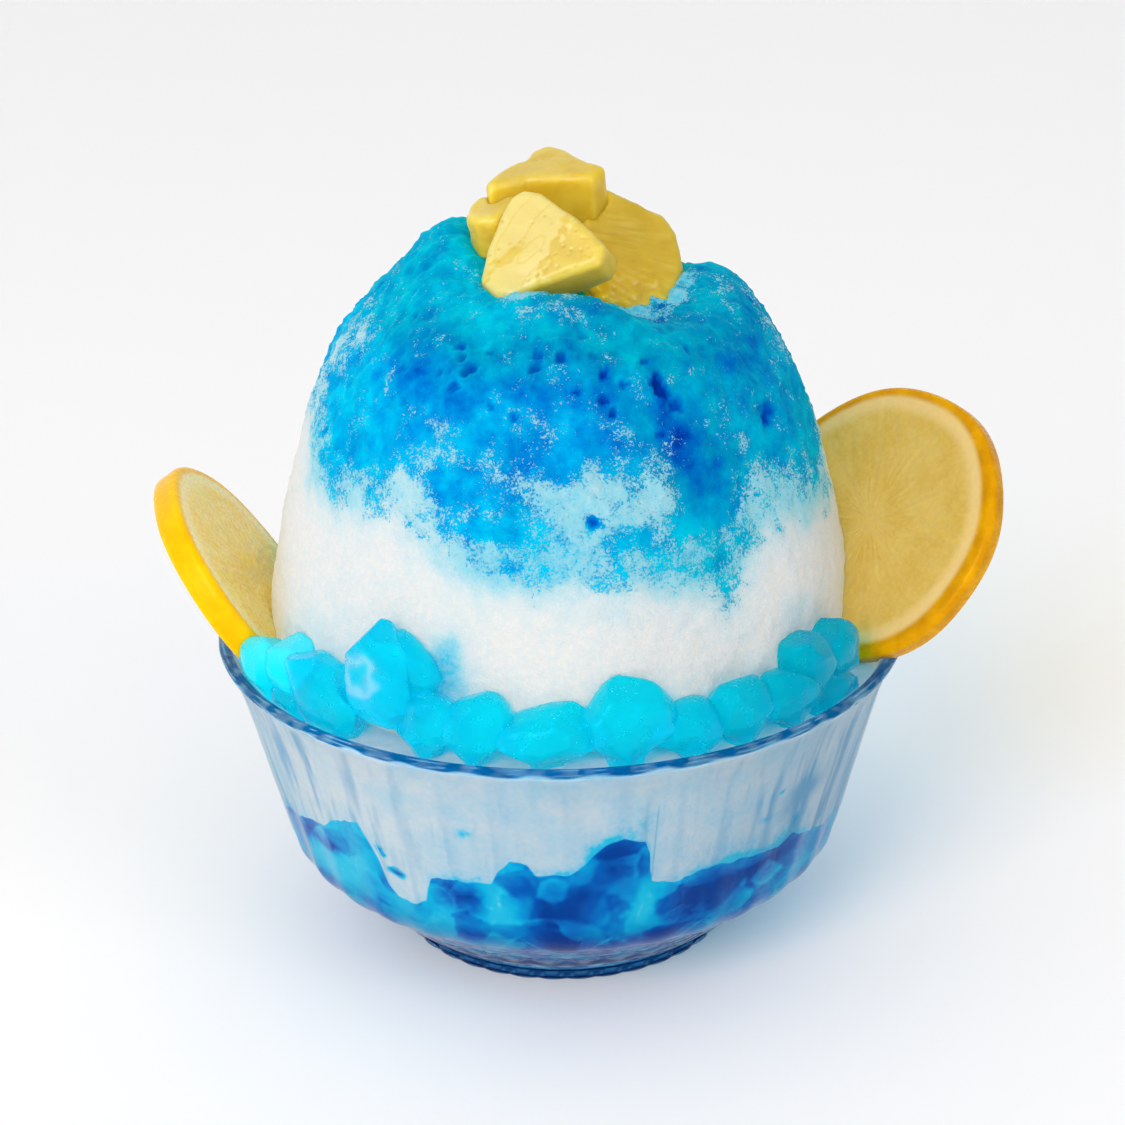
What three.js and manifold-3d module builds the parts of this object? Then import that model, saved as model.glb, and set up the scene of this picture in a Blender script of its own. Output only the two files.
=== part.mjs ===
// Kakigori: shaved ice heaped in a pressed-glass bowl over a layer of blue syrup ice, with a ring of
// jelly pieces round the foot of the mound, pineapple on its top and a lemon slice on either side.
// Millimetres, +Z up. The origin is the centre of the bowl's flat underside.
// Azimuth is in degrees, from -Y (the front) towards +X.

import * as THREE from 'three';
import { mergeVertices } from 'three/addons/utils/BufferGeometryUtils.js';
import Module from 'manifold-3d';

const wasm = await Module();
wasm.setup();

// ---------------------------------------------------------------- driving dimensions

const gap = 0.3; // free space kept between pieces that touch

const bowl = {
  rimRadius: 75.6, height: 71.3, wall: 2.7, flare: 1.3, flareFrom: 58,
  shoulderRadius: 61, shoulderHeight: 22.1, shoulderRound: 3.5,
  footRadius: 36.4, footHeight: 3, footEdge: 1.6,
  floor: 6.5, baseWall: 3, rimRound: 0.8,
  flutes: 36, fluteDepth: 0.45, sidesPerFlute: 2,
  innerRows: [20, 25, 31, 62], // levels that the inner wall and what fills the bowl share
};

const mound = {
  baseHeight: 75, baseRadius: 63.6, rise: 76.5, // from its widest level up to its flat top
  topPower: 1.2, sidePower: 0.211, // how the radius falls off towards the top
  skirtRadius: 64.2, skirtHeight: 71.6, fillHeight: 69, // where it meets the ice that fills the bowl
  segments: 56, rows: [0.02, 0.12, 0.26, 0.4, 0.53, 0.65, 0.75, 0.84, 0.91, 0.955, 0.982],
};

// Rises and hollows of the mound's top: centre, spread in X and Y, and height.
const topRelief = [
  { x: -21, y: 3, spreadX: 12, spreadY: 18, height: 11 },
  { x: 28, y: 24, spreadX: 16, spreadY: 18, height: -3.5 },
  { x: 37, y: 2, spreadX: 11, spreadY: 18, height: 3.5 },
  { x: 2, y: -24, spreadX: 13, spreadY: 6, height: 3.5 },
  { x: 20, y: -15, spreadX: 9, spreadY: 9, height: -6 },
  { x: 4, y: 0, spreadX: 14, spreadY: 13, height: -6.5 },
];

// The blue layer's upper edge at the wall: its mean level, then each rise or dip of the edge.
const blueLayer = {
  level: 41, centreLevel: 42,
  gapAbove: 0.8, // between the two layers' wavy faces
  waves: [
    { azimuth: -44, width: 6, height: 6 }, { azimuth: -31, width: 5, height: -9 },
    { azimuth: -9, width: 4, height: 5 }, { azimuth: 9, width: 7, height: 10 },
    { azimuth: 62, width: 10, height: -4 }, { azimuth: 105, width: 12, height: 4 },
    { azimuth: 140, width: 10, height: -4 }, { azimuth: 178, width: 12, height: 6 },
    { azimuth: 222, width: 10, height: 4 }, { azimuth: 256, width: 10, height: -3 },
  ],
};

// Each jelly piece of the front half: place on the ring, half sizes along the ring, across it and
// up, and its lean along the ring in degrees.
const frontJelly = [
  { azimuth: -66, radius: 69, height: 73.2, half: [5.2, 3.3, 6.4], lean: 8 },
  { azimuth: -58.6, radius: 66, height: 76, half: [5.4, 4, 5.6], lean: -10 },
  { azimuth: -55, radius: 69.2, height: 69.6, half: [4.2, 2.4, 3.2], lean: 0 },
  { azimuth: -46.8, radius: 67, height: 75.3, half: [9.6, 4.3, 6], lean: -24 },
  { azimuth: -33.8, radius: 66, height: 83.4, half: [6.6, 3.6, 10.6], lean: 6 },
  { azimuth: -29, radius: 63.8, height: 84.4, half: [2.6, 2.6, 9.2], lean: -14 },
  { azimuth: -24, radius: 66.8, height: 75.2, half: [4.9, 4.2, 7.1], lean: -8 },
  { azimuth: -15.4, radius: 66.8, height: 75.3, half: [5.7, 4.3, 7], lean: -6 },
  { azimuth: -2.6, radius: 66.6, height: 74.2, half: [8.8, 4.6, 6], lean: 10 },
  { azimuth: 11.2, radius: 66.2, height: 76.3, half: [8, 4.6, 8.8], lean: -12 },
  { azimuth: 22.4, radius: 66.9, height: 73, half: [5.4, 4.2, 5.4], lean: 0 },
  { azimuth: 32.5, radius: 66.5, height: 74.6, half: [6, 4.4, 7.4], lean: 8 },
  { azimuth: 43.4, radius: 66.6, height: 73.2, half: [5.8, 4.2, 5.5], lean: -6 },
  { azimuth: 55.6, radius: 68.3, height: 69, half: [6, 3.2, 4.6], lean: 6 },
  { azimuth: 51.2, radius: 65.6, height: 77, half: [4, 4.2, 8], lean: 4 },
  { azimuth: 59.8, radius: 66, height: 77, half: [4.8, 3.8, 6], lean: 0 },
];

const wholeJelly = 2; // how many of these are whole, with the left lemon slice cut round them

const backJelly = { count: 13, firstAzimuth: 94, step: 12.2, radius: 66.4, restHeight: 68.6, seed: 11 };

const jellyShape = { sides: 8, rings: 6, boxiness: 0.72, lumps: 0.07 };

// Lemon slices: disc centre, outward face normal, radius and thickness.
const lemons = {
  lemon_left: { centre: [-69.4, 4, 78.3], normal: [0.81, 0.03, 0.58], radius: 29.6, thickness: 6.6 },
  lemon_right: { centre: [69, -4, 93.9], normal: [-0.61, -0.56, 0.57], radius: 30.8, thickness: 5 },
};
const lemonEdge = { chamfer: 0.9, segments: 40 };

// Each pineapple piece is a chunk of a ring slice: the outline of its upper face, its thickness, the
// way the face looks and the place of the face's middle. The outline's first axis runs to the right
// in the face and the second one up it.
const pineapple = {
  pineapple_front: {
    thickness: 10.5, centre: [-3, -17, 161], face: [-0.3, -0.72, 0.62],
    outline: [[-3.5, 14.5], [0, 13.5], [6.5, 7.5], [11, 3], [13.5, -0.5], [12.5, -4], [6.5, -5.5],
      [-1, -7], [-6, -9], [-9.5, -8.5], [-13, -4.5], [-11.5, 2.5], [-8.5, 9.5], [-6, 13.5]],
  },
  pineapple_back: {
    thickness: 12.4, centre: [-2, 3, 172.5], face: [-0.06, -0.2, 0.97],
    outline: [[12.5, -1], [10, -4], [3.5, -3.5], [-4, -3], [-11.5, -6.5], [-12, -3.5], [-9.5, 0.5],
      [-6.5, 4], [-4, 5.5], [-2.5, 9.5], [1, 11], [4.5, 8.5], [9.5, 2.5], [12.5, 0.5]],
  },
  pineapple_right: {
    thickness: 10, centre: [13, -3.4, 156], face: [0.2, -0.75, 0.62],
    outline: [[-3.5, 15], [1, 13.5], [4.5, 12.5], [7.5, 10.5], [10, 9.5], [12.5, 6], [13.5, 2.5],
      [14, -2], [13.5, -6.5], [11.5, -9.5], [9, -13], [6.5, -13.5], [4, -14], [1.5, -12],
      [-4, -10.5], [-8, 0], [-6.5, 10]],
  },
  pineapple_left: {
    thickness: 10, centre: [-12, -4, 167.2], face: [-0.15, -0.2, 0.96],
    outline: [[-6.5, -2], [-5.5, 2.5], [-3.5, 5], [4, 5], [4, -2], [0, -6], [-4.5, -5]],
  },
};
const pineappleBevel = 0.9;

const colours = {
  glass: 0xcfe3ee, ice: 0xf1f5f8, syrup: 0x0a6fcb, jelly: 0x0acdea,
  rind: 0xf3b400, pineapple: 0xe6c94e,
};

// ---------------------------------------------------------------- numbers and curves

function smoothMin(a, b, round) {
  const overlap = Math.max(round - Math.abs(a - b), 0) / round;
  return Math.min(a, b) - overlap * overlap * round / 4;
}

function bell(distance, width) {
  return Math.exp(-(distance * distance) / (width * width));
}

function angleBetween(a, b) {
  return THREE.MathUtils.euclideanModulo(a - b + 180, 360) - 180;
}

function seededRandom(seed) {
  let state = seed;
  return () => {
    state = (state * 16807) % 2147483647;
    return state / 2147483647;
  };
}

function lineThrough(z, [r0, z0], [r1, z1]) {
  return r0 + (r1 - r0) * (z - z0) / (z1 - z0);
}

// Radius of the bowl's outer side: a cone up to the shoulder, then a steeper cone up to the rim.
function outerRadius(z) {
  const shoulder = [bowl.shoulderRadius, bowl.shoulderHeight];
  const under = lineThrough(z, [bowl.footRadius, bowl.footHeight], shoulder);
  return smoothMin(under, sideRadius(z), bowl.shoulderRound);
}

// Radius of the steep upper cone, which flares out a little towards the rim.
function sideRadius(z) {
  const cone = lineThrough(z, [bowl.shoulderRadius, bowl.shoulderHeight],
    [bowl.rimRadius - bowl.flare, bowl.height]);
  const flared = Math.max(0, (z - bowl.flareFrom) / (bowl.height - bowl.flareFrom));
  return cone + bowl.flare * flared * flared;
}

// Radius of the bowl's inner side, one wall inside the outer one.
function innerRadius(z) {
  const slope = (bowl.shoulderRadius - bowl.footRadius) / (bowl.shoulderHeight - bowl.footHeight);
  const along = bowl.baseWall * Math.sqrt(1 + slope * slope);
  const under = lineThrough(z, [bowl.footRadius - along, bowl.footHeight],
    [bowl.shoulderRadius - along, bowl.shoulderHeight]);
  return smoothMin(under, sideRadius(z) - bowl.wall, bowl.shoulderRound);
}

function blueEdge(azimuth) {
  return blueLayer.waves.reduce(
    (z, wave) => z + wave.height * bell(angleBetween(azimuth, wave.azimuth), wave.width),
    blueLayer.level);
}

const blueEdges = Array.from({ length: 360 }, (_, azimuth) => blueEdge(azimuth));
const lowestBlueEdge = Math.min(...blueEdges);
const highestBlueEdge = Math.max(...blueEdges);

// Height of the blue layer's upper surface, a part `out` of the way from the axis to the wall.
function blueTop(azimuth, out) {
  return THREE.MathUtils.lerp(blueLayer.centreLevel, blueEdge(azimuth), out * out);
}

function moundLumps(azimuth, up) {
  const turn = THREE.MathUtils.degToRad(azimuth);
  return 1 + 0.010 * Math.sin(3 * turn + 2.5 * up + 1.1)
    + 0.008 * Math.sin(5 * turn + 4 * up + 0.3)
    + 0.006 * Math.sin(8 * turn - 6 * up + 2);
}

function topOffset(x, y) {
  return topRelief.reduce(
    (z, bump) => z + bump.height * bell(x - bump.x, bump.spreadX) * bell(y - bump.y, bump.spreadY), 0);
}

// A point of the mound's surface, `up` being 0 at its widest level and 1 at its flat top.
function moundPoint(azimuth, up) {
  const fall = Math.pow(1 - Math.pow(up, mound.topPower), mound.sidePower);
  const point = polar(azimuth, mound.baseRadius * fall * moundLumps(azimuth, up),
    mound.baseHeight + mound.rise * up);
  point.z += topOffset(point.x, point.y) * THREE.MathUtils.smoothstep(up, 0.72, 0.96);
  return point;
}

function polar(azimuth, radius, z) {
  const turn = THREE.MathUtils.degToRad(azimuth);
  return new THREE.Vector3(radius * Math.sin(turn), -radius * Math.cos(turn), z);
}

// ---------------------------------------------------------------- closed solids

// Leaves only the positions, shares equal vertices and drops triangles with no area.
function closed(geometry) {
  const bare = geometry.clone();
  bare.deleteAttribute('normal');
  bare.deleteAttribute('uv');
  const merged = mergeVertices(bare, 1e-3);
  const kept = [];
  const index = merged.index.array;
  for (let i = 0; i < index.length; i += 3) {
    const [a, b, c] = [index[i], index[i + 1], index[i + 2]];
    if (a !== b && b !== c && c !== a) kept.push(a, b, c);
  }
  merged.setIndex(kept);
  return merged;
}

// A solid of revolution whose rows go from the bottom of the axis, round the outside, to the top of it.
// Each row is a function of the azimuth that gives its point.
function turned(rows, segments) {
  const profile = rows.map((row) => {
    const point = row(0);
    return new THREE.Vector2(Math.hypot(point.x, point.y), point.z);
  });
  const geometry = new THREE.LatheGeometry(profile, segments);
  const position = geometry.attributes.position;
  for (let i = 0; i <= segments; i += 1) {
    rows.forEach((row, j) => {
      const point = row((i % segments) * 360 / segments);
      position.setXYZ(i * rows.length + j, point.x, point.y, point.z);
    });
  }
  return closed(geometry);
}

function ring(radius, z) {
  return (azimuth) => polar(azimuth, radius, z);
}

function toManifold(geometry) {
  return new wasm.Manifold(new wasm.Mesh({
    numProp: 3,
    vertProperties: new Float32Array(geometry.attributes.position.array),
    triVerts: new Uint32Array(geometry.index.array),
  }));
}

// The largest piece of a solid, as a geometry: a cut can leave loose scraps beside it.
function toGeometry(solid) {
  const pieces = solid.decompose();
  pieces.sort((a, b) => b.volume() - a.volume());
  const mesh = pieces[0].getMesh();
  const geometry = new THREE.BufferGeometry();
  geometry.setAttribute('position', new THREE.BufferAttribute(mesh.vertProperties, 3));
  geometry.setIndex(new THREE.BufferAttribute(mesh.triVerts, 1));
  return geometry;
}

function cut(geometry, tools) {
  const solid = tools.reduce((left, tool) => left.subtract(toManifold(tool)), toManifold(geometry));
  return toGeometry(solid);
}

// ---------------------------------------------------------------- the bowl

function bowlGeometry() {
  const fluted = (z, share) => (azimuth) => {
    const turn = THREE.MathUtils.degToRad(azimuth);
    const wave = Math.cos(bowl.flutes * turn);
    return polar(azimuth, outerRadius(z) - bowl.fluteDepth * share * (1 - wave) / 2, z);
  };
  const inner = (z) => ring(innerRadius(z), z);
  const rimInside = bowl.rimRadius - bowl.wall;
  const rows = [
    ring(0, 0),
    ring(bowl.footRadius - bowl.footEdge, 0),
    ring(bowl.footRadius, bowl.footEdge / 2),
    ring(bowl.footRadius, bowl.footHeight),
    fluted(8, 0.6), fluted(18, 1), fluted(23, 1), fluted(29, 1), fluted(bowl.flareFrom + 4, 1),
    fluted(bowl.height - bowl.rimRound, 0.6),
    ring(bowl.rimRadius - bowl.rimRound, bowl.height),
    ring(rimInside + bowl.rimRound, bowl.height),
    ring(rimInside, bowl.height - bowl.rimRound),
    ...bowl.innerRows.map(inner).reverse(),
    ring(innerRadius(bowl.floor + 1), bowl.floor + 1),
    ring(innerRadius(bowl.floor) - 1.5, bowl.floor),
    ring(0, bowl.floor),
  ];
  return turned(rows, bowl.flutes * bowl.sidesPerFlute);
}

// The bowl's solid with one gap more on its inside and its rim, which keeps what lies in it clear.
function bowlClearance() {
  const beyond = bowl.rimRadius + 10;
  const inside = (z) => ring(innerRadius(z) - gap, z);
  const rows = [
    ring(0, -1), ring(beyond, -1),
    ring(beyond, bowl.height + gap), ring(innerRadius(bowl.height) - gap, bowl.height + gap),
    ...bowl.innerRows.map(inside).reverse(),
    inside(bowl.floor + gap), ring(0, bowl.floor + gap),
  ];
  return turned(rows, 72);
}

// ---------------------------------------------------------------- blue layer and shaved ice

// A point on the wall of what fills the bowl.
function fillPoint(azimuth, z) {
  return polar(azimuth, innerRadius(z) - gap, z);
}

// A point of the blue layer's upper surface, raised by `lift`.
function blueTopPoint(azimuth, out, lift) {
  const wallRadius = innerRadius(blueEdge(azimuth) + lift) - gap;
  return polar(azimuth, wallRadius * out, blueTop(azimuth, out) + lift);
}

function syrupGeometry() {
  const bottom = bowl.floor + gap;
  const side = (z) => (azimuth) => fillPoint(azimuth, z);
  const top = (out) => (azimuth) => blueTopPoint(azimuth, out, 0);
  const rows = [
    ring(0, bottom), ring(innerRadius(bowl.floor) - 2, bottom),
    side(bottom + 1), ...bowl.innerRows.filter((z) => z < lowestBlueEdge).map(side),
    top(1), top(0.75), top(0.4), top(0),
  ];
  return turned(rows, mound.segments);
}

function iceGeometry() {
  const bottom = (out) => (azimuth) => blueTopPoint(azimuth, out, blueLayer.gapAbove);
  const side = (z) => (azimuth) => fillPoint(azimuth, z);
  const surface = (up) => (azimuth) => moundPoint(azimuth, up);
  const plateau = moundPoint(0, 0.997);
  const crown = (share) => (azimuth) => {
    const radius = Math.hypot(plateau.x, plateau.y) * share;
    const point = polar(azimuth, radius, mound.baseHeight + mound.rise);
    point.z += topOffset(point.x, point.y);
    return point;
  };
  const rows = [
    bottom(0), bottom(0.4), bottom(0.75), bottom(1),
    ...bowl.innerRows.filter((z) => z > highestBlueEdge).map(side), side(mound.fillHeight),
    ring(mound.skirtRadius + 3, mound.fillHeight + 1), ring(mound.skirtRadius, mound.skirtHeight),
    ...mound.rows.map(surface),
    crown(0.95), crown(0.65), crown(0.35), crown(0),
  ];
  return turned(rows, mound.segments);
}

// ---------------------------------------------------------------- jelly

// A soft, rather boxy lump. `extra` makes it larger on every side.
function jellyGeometry(piece, extra) {
  const [along, across, up] = piece.half.map((half) => half + extra);
  const geometry = new THREE.SphereGeometry(1, jellyShape.sides, jellyShape.rings);
  const position = geometry.attributes.position;
  const push = (value) => Math.sign(value) * Math.pow(Math.abs(value), jellyShape.boxiness);
  for (let i = 0; i < position.count; i += 1) {
    const [x, y, z] = [position.getX(i), position.getY(i), position.getZ(i)];
    const lump = 1 + jellyShape.lumps * Math.sin(2.6 * x + 3.1 * y - 2.2 * z + piece.azimuth);
    position.setXYZ(i, push(x) * along * lump, push(y) * up * lump, push(z) * across * lump);
  }
  const solid = closed(geometry);
  solid.rotateZ(THREE.MathUtils.degToRad(piece.lean));
  solid.rotateX(Math.PI / 2);
  solid.rotateZ(THREE.MathUtils.degToRad(piece.azimuth));
  return solid;
}

function jellyPlace(piece) {
  return polar(piece.azimuth, piece.radius, piece.height);
}

function hiddenJelly() {
  const random = seededRandom(backJelly.seed);
  const between = (low, high) => low + (high - low) * random();
  return Array.from({ length: backJelly.count }, (_, i) => {
    const half = [between(5, 6.6), between(3.8, 4.5), between(4.8, 7.6)];
    return {
      azimuth: backJelly.firstAzimuth + backJelly.step * i + between(-1, 1),
      radius: backJelly.radius + between(-0.5, 0.3),
      height: backJelly.restHeight + half[2] * 0.95,
      half,
      lean: between(-16, 16),
    };
  });
}

// ---------------------------------------------------------------- lemon

function lemonGeometry(slice, extra) {
  const radius = slice.radius + extra;
  const half = slice.thickness / 2 + extra;
  const { chamfer, segments } = lemonEdge;
  const profile = [
    [0, -half], [radius - chamfer, -half], [radius, chamfer - half],
    [radius, half - chamfer], [radius - chamfer, half], [0, half],
  ].map(([r, h]) => new THREE.Vector2(r, h));
  const disc = closed(new THREE.LatheGeometry(profile, segments));
  const normal = new THREE.Vector3(...slice.normal).normalize();
  const turn = new THREE.Quaternion().setFromUnitVectors(new THREE.Vector3(0, 1, 0), normal);
  return disc.applyQuaternion(turn);
}

// ---------------------------------------------------------------- pineapple

function pineappleGeometry(piece, extra) {
  const outline = new THREE.Shape(piece.outline.map(([x, y]) => new THREE.Vector2(x, y)));
  const solid = closed(new THREE.ExtrudeGeometry(outline, {
    depth: piece.thickness - 2 * pineappleBevel + 2 * extra,
    bevelEnabled: true, bevelSegments: 1,
    bevelThickness: pineappleBevel, bevelSize: pineappleBevel, bevelOffset: extra - pineappleBevel,
  }));
  solid.translate(0, 0, pineappleBevel - piece.thickness - extra);
  const normal = new THREE.Vector3(...piece.face).normalize();
  const right = new THREE.Vector3(1, 0, 0).addScaledVector(normal, -normal.x).normalize();
  const up = new THREE.Vector3().crossVectors(normal, right);
  return solid.applyMatrix4(new THREE.Matrix4().makeBasis(right, up, normal));
}

// ---------------------------------------------------------------- assembly

const group = new THREE.Group();
const origin = new THREE.Vector3();

function add(name, geometry, place, color, roughness, options = {}) {
  const material = new THREE.MeshStandardMaterial({ color, roughness, metalness: 0, ...options });
  const mesh = new THREE.Mesh(geometry.translate(-place.x, -place.y, -place.z), material);
  mesh.name = name;
  mesh.position.copy(place);
  group.add(mesh);
}

// Adds a piece cut back by what is there before it, and notes the room that later ones leave it.
function addCut(name, makeGeometry, place, room, color, roughness) {
  const at = (extra) => makeGeometry(extra).translate(place.x, place.y, place.z);
  add(name, cut(at(0), room), place, color, roughness);
  room.push(at(gap));
}

function addJelly(pieces, firstNumber, room) {
  pieces.forEach((piece, i) => {
    const name = `jelly_${String(firstNumber + i).padStart(2, '0')}`;
    addCut(name, (extra) => jellyGeometry(piece, extra), jellyPlace(piece), room, colours.jelly, 0.2);
  });
}

add('bowl', bowlGeometry(), origin, colours.glass, 0.05, { transparent: true, opacity: 0.35 });
add('syrup_base', syrupGeometry(), origin, colours.syrup, 0.4);

// The first jelly pieces lie in front of the left lemon slice and are whole.
const inBowl = [bowlClearance()];
addJelly(frontJelly.slice(0, wholeJelly), 1, inBowl);
Object.entries(lemons).forEach(([name, slice]) => {
  const place = new THREE.Vector3(...slice.centre);
  addCut(name, (extra) => lemonGeometry(slice, extra), place, inBowl, colours.rind, 0.4);
});
addJelly([...frontJelly.slice(wholeJelly), ...hiddenJelly()], wholeJelly + 1, inBowl);

const onTop = [];
Object.entries(pineapple).forEach(([name, piece]) => {
  const place = new THREE.Vector3(...piece.centre);
  addCut(name, (extra) => pineappleGeometry(piece, extra), place, onTop, colours.pineapple, 0.3);
});

const pressedIn = [...inBowl.slice(1), ...onTop];
add('shaved_ice', cut(iceGeometry(), pressedIn), origin, colours.ice, 0.8);

export default group;
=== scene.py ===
"""Kakigori in its pressed-glass bowl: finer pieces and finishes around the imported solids.

Lengths are in millimetres until a mesh is made. Azimuth is in degrees, from -Y (the front) towards +X.
"""

import itertools
import math

import bpy
import numpy as np
from mathutils import Matrix, Vector
from mathutils.kdtree import KDTree


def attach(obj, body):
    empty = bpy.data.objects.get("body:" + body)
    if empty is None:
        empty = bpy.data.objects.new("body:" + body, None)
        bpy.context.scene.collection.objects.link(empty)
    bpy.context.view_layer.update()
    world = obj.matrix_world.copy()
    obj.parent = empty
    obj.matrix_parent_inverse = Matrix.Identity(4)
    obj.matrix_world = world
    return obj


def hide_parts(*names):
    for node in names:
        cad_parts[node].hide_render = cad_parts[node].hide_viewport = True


MM = 0.001
IMAGE_WIDTH = 1125

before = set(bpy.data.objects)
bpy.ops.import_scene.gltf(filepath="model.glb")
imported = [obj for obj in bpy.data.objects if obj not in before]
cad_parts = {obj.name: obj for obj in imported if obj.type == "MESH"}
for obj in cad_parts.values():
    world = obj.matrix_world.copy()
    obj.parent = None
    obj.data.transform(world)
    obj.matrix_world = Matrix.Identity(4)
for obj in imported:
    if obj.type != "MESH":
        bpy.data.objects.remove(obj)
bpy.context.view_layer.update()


# ---------------- dimensions shared with the solids

RIM_RADIUS, BOWL_HEIGHT, WALL = 75.6, 71.3, 2.7
FLARE, FLARE_FROM = 1.3, 58
SHOULDER_RADIUS, SHOULDER_HEIGHT, SHOULDER_ROUND = 61, 22.1, 3.5
FOOT_RADIUS, FOOT_HEIGHT, FOOT_EDGE = 36.4, 3, 1.6
FLOOR, BASE_WALL = 6.5, 3
FLUTES, FLUTE_DEPTH = 36, 0.45

MOUND_BASE, MOUND_RADIUS, MOUND_RISE = 75, 63.6, 76.5
TOP_POWER, SIDE_POWER = 1.2, 0.211
SKIRT_RADIUS, SKIRT_HEIGHT = 64.2, 71.6
# Waves round the mound's side: share of its radius, how many go round, and how far they twist over its
# height and where they start, in radians.
SIDE_WAVES = [(0.010, 3, 2.5, 1.1), (0.008, 5, 4, 0.3), (0.006, 8, -6, 2)]

# Rises and hollows of the mound's top: x, y, spread in x and y, height.
TOP_RELIEF = [
    (-21, 3, 12, 18, 11), (28, 24, 16, 18, -3.5), (37, 2, 11, 18, 3.5), (2, -24, 13, 6, 3.5),
    (20, -15, 9, 9, -6), (4, 0, 14, 13, -6.5),
]

# ---------------- dimensions of the scene alone

RIM_TURN = 1.0  # height in which the rounded rim turns over
FULLER_FOOT = 1.2  # how much wider the foot is than in the solid, where it runs into the cone
SEAM = 15.9  # azimuth of the mould's seam
INTO_GLASS = 0.35  # how far what fills the bowl reaches into its wall
FILL_TOP = 68.4  # where the ice in the bowl leaves the wall
SYRUP_MIDDLE = 42  # height of the syrup layer's top in the middle of the bowl
PERCH = (1, 7, 9.5, 13)  # ice under the rear pineapple piece: x, y, half width and rise
PINEAPPLE_FOOT = 143  # height that no pineapple piece reaches below


# ---------------- numbers and noise


def ease(value, low, high):
    """0 at low and 1 at high, with a soft start and end."""
    share = np.clip((value - low) / (high - low), 0, 1)
    return share * share * (3 - 2 * share)


def bell(distance, width):
    return np.exp(-((distance / width) ** 2))


def angle_between(a, b):
    return (a - b + 180) % 360 - 180


def smooth_min(a, b, rounding):
    overlap = np.maximum(rounding - np.abs(a - b), 0) / rounding
    return np.minimum(a, b) - overlap**2 * rounding / 4


def line_through(z, r0, z0, r1, z1):
    return r0 + (r1 - r0) * (z - z0) / (z1 - z0)


CELLS = 256  # cells of the noise's lattice before it repeats, a power of two
LAST_CELL = CELLS - 1


def shuffled(order, cells):
    """A number from 0 to 255 for each cell (N, 3), from a shuffled order of them."""
    x, y, z = (cells & LAST_CELL).T
    return order[(order[(order[x] + y) & LAST_CELL] + z) & LAST_CELL]


def noise(points, size, seed):
    """Smooth noise in about -1 to 1 at points (N, 3), with features as wide as size.

    Each seed gives a pattern of its own.
    """
    random = np.random.RandomState(seed)
    ways = random.normal(size=(CELLS, 3))
    ways /= np.linalg.norm(ways, axis=1)[:, None]
    order = random.permutation(CELLS)
    place = points / size
    cell = np.floor(place).astype(int)
    inside = place - cell
    blend = inside**3 * (inside * (inside * 6 - 15) + 10)
    total = np.zeros(len(points))
    for corner in itertools.product((0, 1), repeat=3):
        corner = np.array(corner)
        slopes = ways[shuffled(order, cell + corner)]
        share = np.prod(np.where(corner == 1, blend, 1 - blend), axis=1)
        total += ((inside - corner) * slopes).sum(1) * share
    return total * 1.6


def rough_noise(points, size, seed, octaves=3):
    """Noise with finer and weaker noise on top of it."""
    layers = [0.5**i * noise(points, size * 0.5**i, seed + i) for i in range(octaves)]
    return sum(layers) / 1.4


def nearest_cell(points, size, seed):
    """Distance to the nearest of scattered points that lie about size apart, and that one's number."""
    random = np.random.RandomState(seed)
    jitter = random.uniform(0.1, 0.9, (CELLS, 3))
    numbers = random.uniform(0, 1, CELLS)
    order = random.permutation(CELLS)
    place = points / size
    cell = np.floor(place).astype(int)
    best = np.full(len(points), 9.0)
    number = np.zeros(len(points))
    for step in itertools.product((-1, 0, 1), repeat=3):
        near = cell + np.array(step)
        index = shuffled(order, near)
        distance = np.linalg.norm(near + jitter[index] - place, axis=1)
        nearer = distance < best
        best[nearer] = distance[nearer]
        number[nearer] = numbers[index[nearer]]
    return best * size, number


def crossing(across, lean):
    """0 on two sets of lines that lean against each other, and up to 1 between them."""
    return np.minimum(np.abs(np.sin(across + lean)), np.abs(np.sin(across - lean)))


def around(azimuth, table):
    """The values of a table of azimuths and values, at azimuths."""
    return np.interp(azimuth, [a for a, _ in table], [v for _, v in table])


def patches(azimuth, z, table):
    """What a table's patches add up to at azimuths and heights."""
    total = np.zeros_like(z)
    for at, height, wide, tall, amount in table:
        total += amount * bell(angle_between(azimuth, at), wide) * bell(z - height, tall)
    return total


# ---------------- shapes of the bowl and the mound


def side_radius(z):
    cone = line_through(z, SHOULDER_RADIUS, SHOULDER_HEIGHT, RIM_RADIUS - FLARE, BOWL_HEIGHT)
    flared = np.maximum(0, (z - FLARE_FROM) / (BOWL_HEIGHT - FLARE_FROM))
    return cone + FLARE * flared**2


def outer_radius(z):
    under = line_through(z, FOOT_RADIUS, FOOT_HEIGHT, SHOULDER_RADIUS, SHOULDER_HEIGHT)
    return smooth_min(under, side_radius(z), SHOULDER_ROUND)


def inner_radius(z):
    slope = (SHOULDER_RADIUS - FOOT_RADIUS) / (SHOULDER_HEIGHT - FOOT_HEIGHT)
    along = BASE_WALL * math.sqrt(1 + slope * slope)
    under = line_through(
        z, FOOT_RADIUS - along, FOOT_HEIGHT, SHOULDER_RADIUS - along, SHOULDER_HEIGHT
    )
    return smooth_min(under, side_radius(z) - WALL, SHOULDER_ROUND)


def full_circle(columns, start=0):
    """Azimuths that lie evenly round, from start."""
    return start + np.arange(columns) * 360 / columns


def polar(azimuth, radius, z):
    turn = np.radians(azimuth)
    axes = np.broadcast_arrays(radius * np.sin(turn), -radius * np.cos(turn), z)
    return np.stack(axes, axis=-1)


def azimuth_of(points):
    return np.degrees(np.arctan2(points[..., 0], -points[..., 1]))


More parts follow.
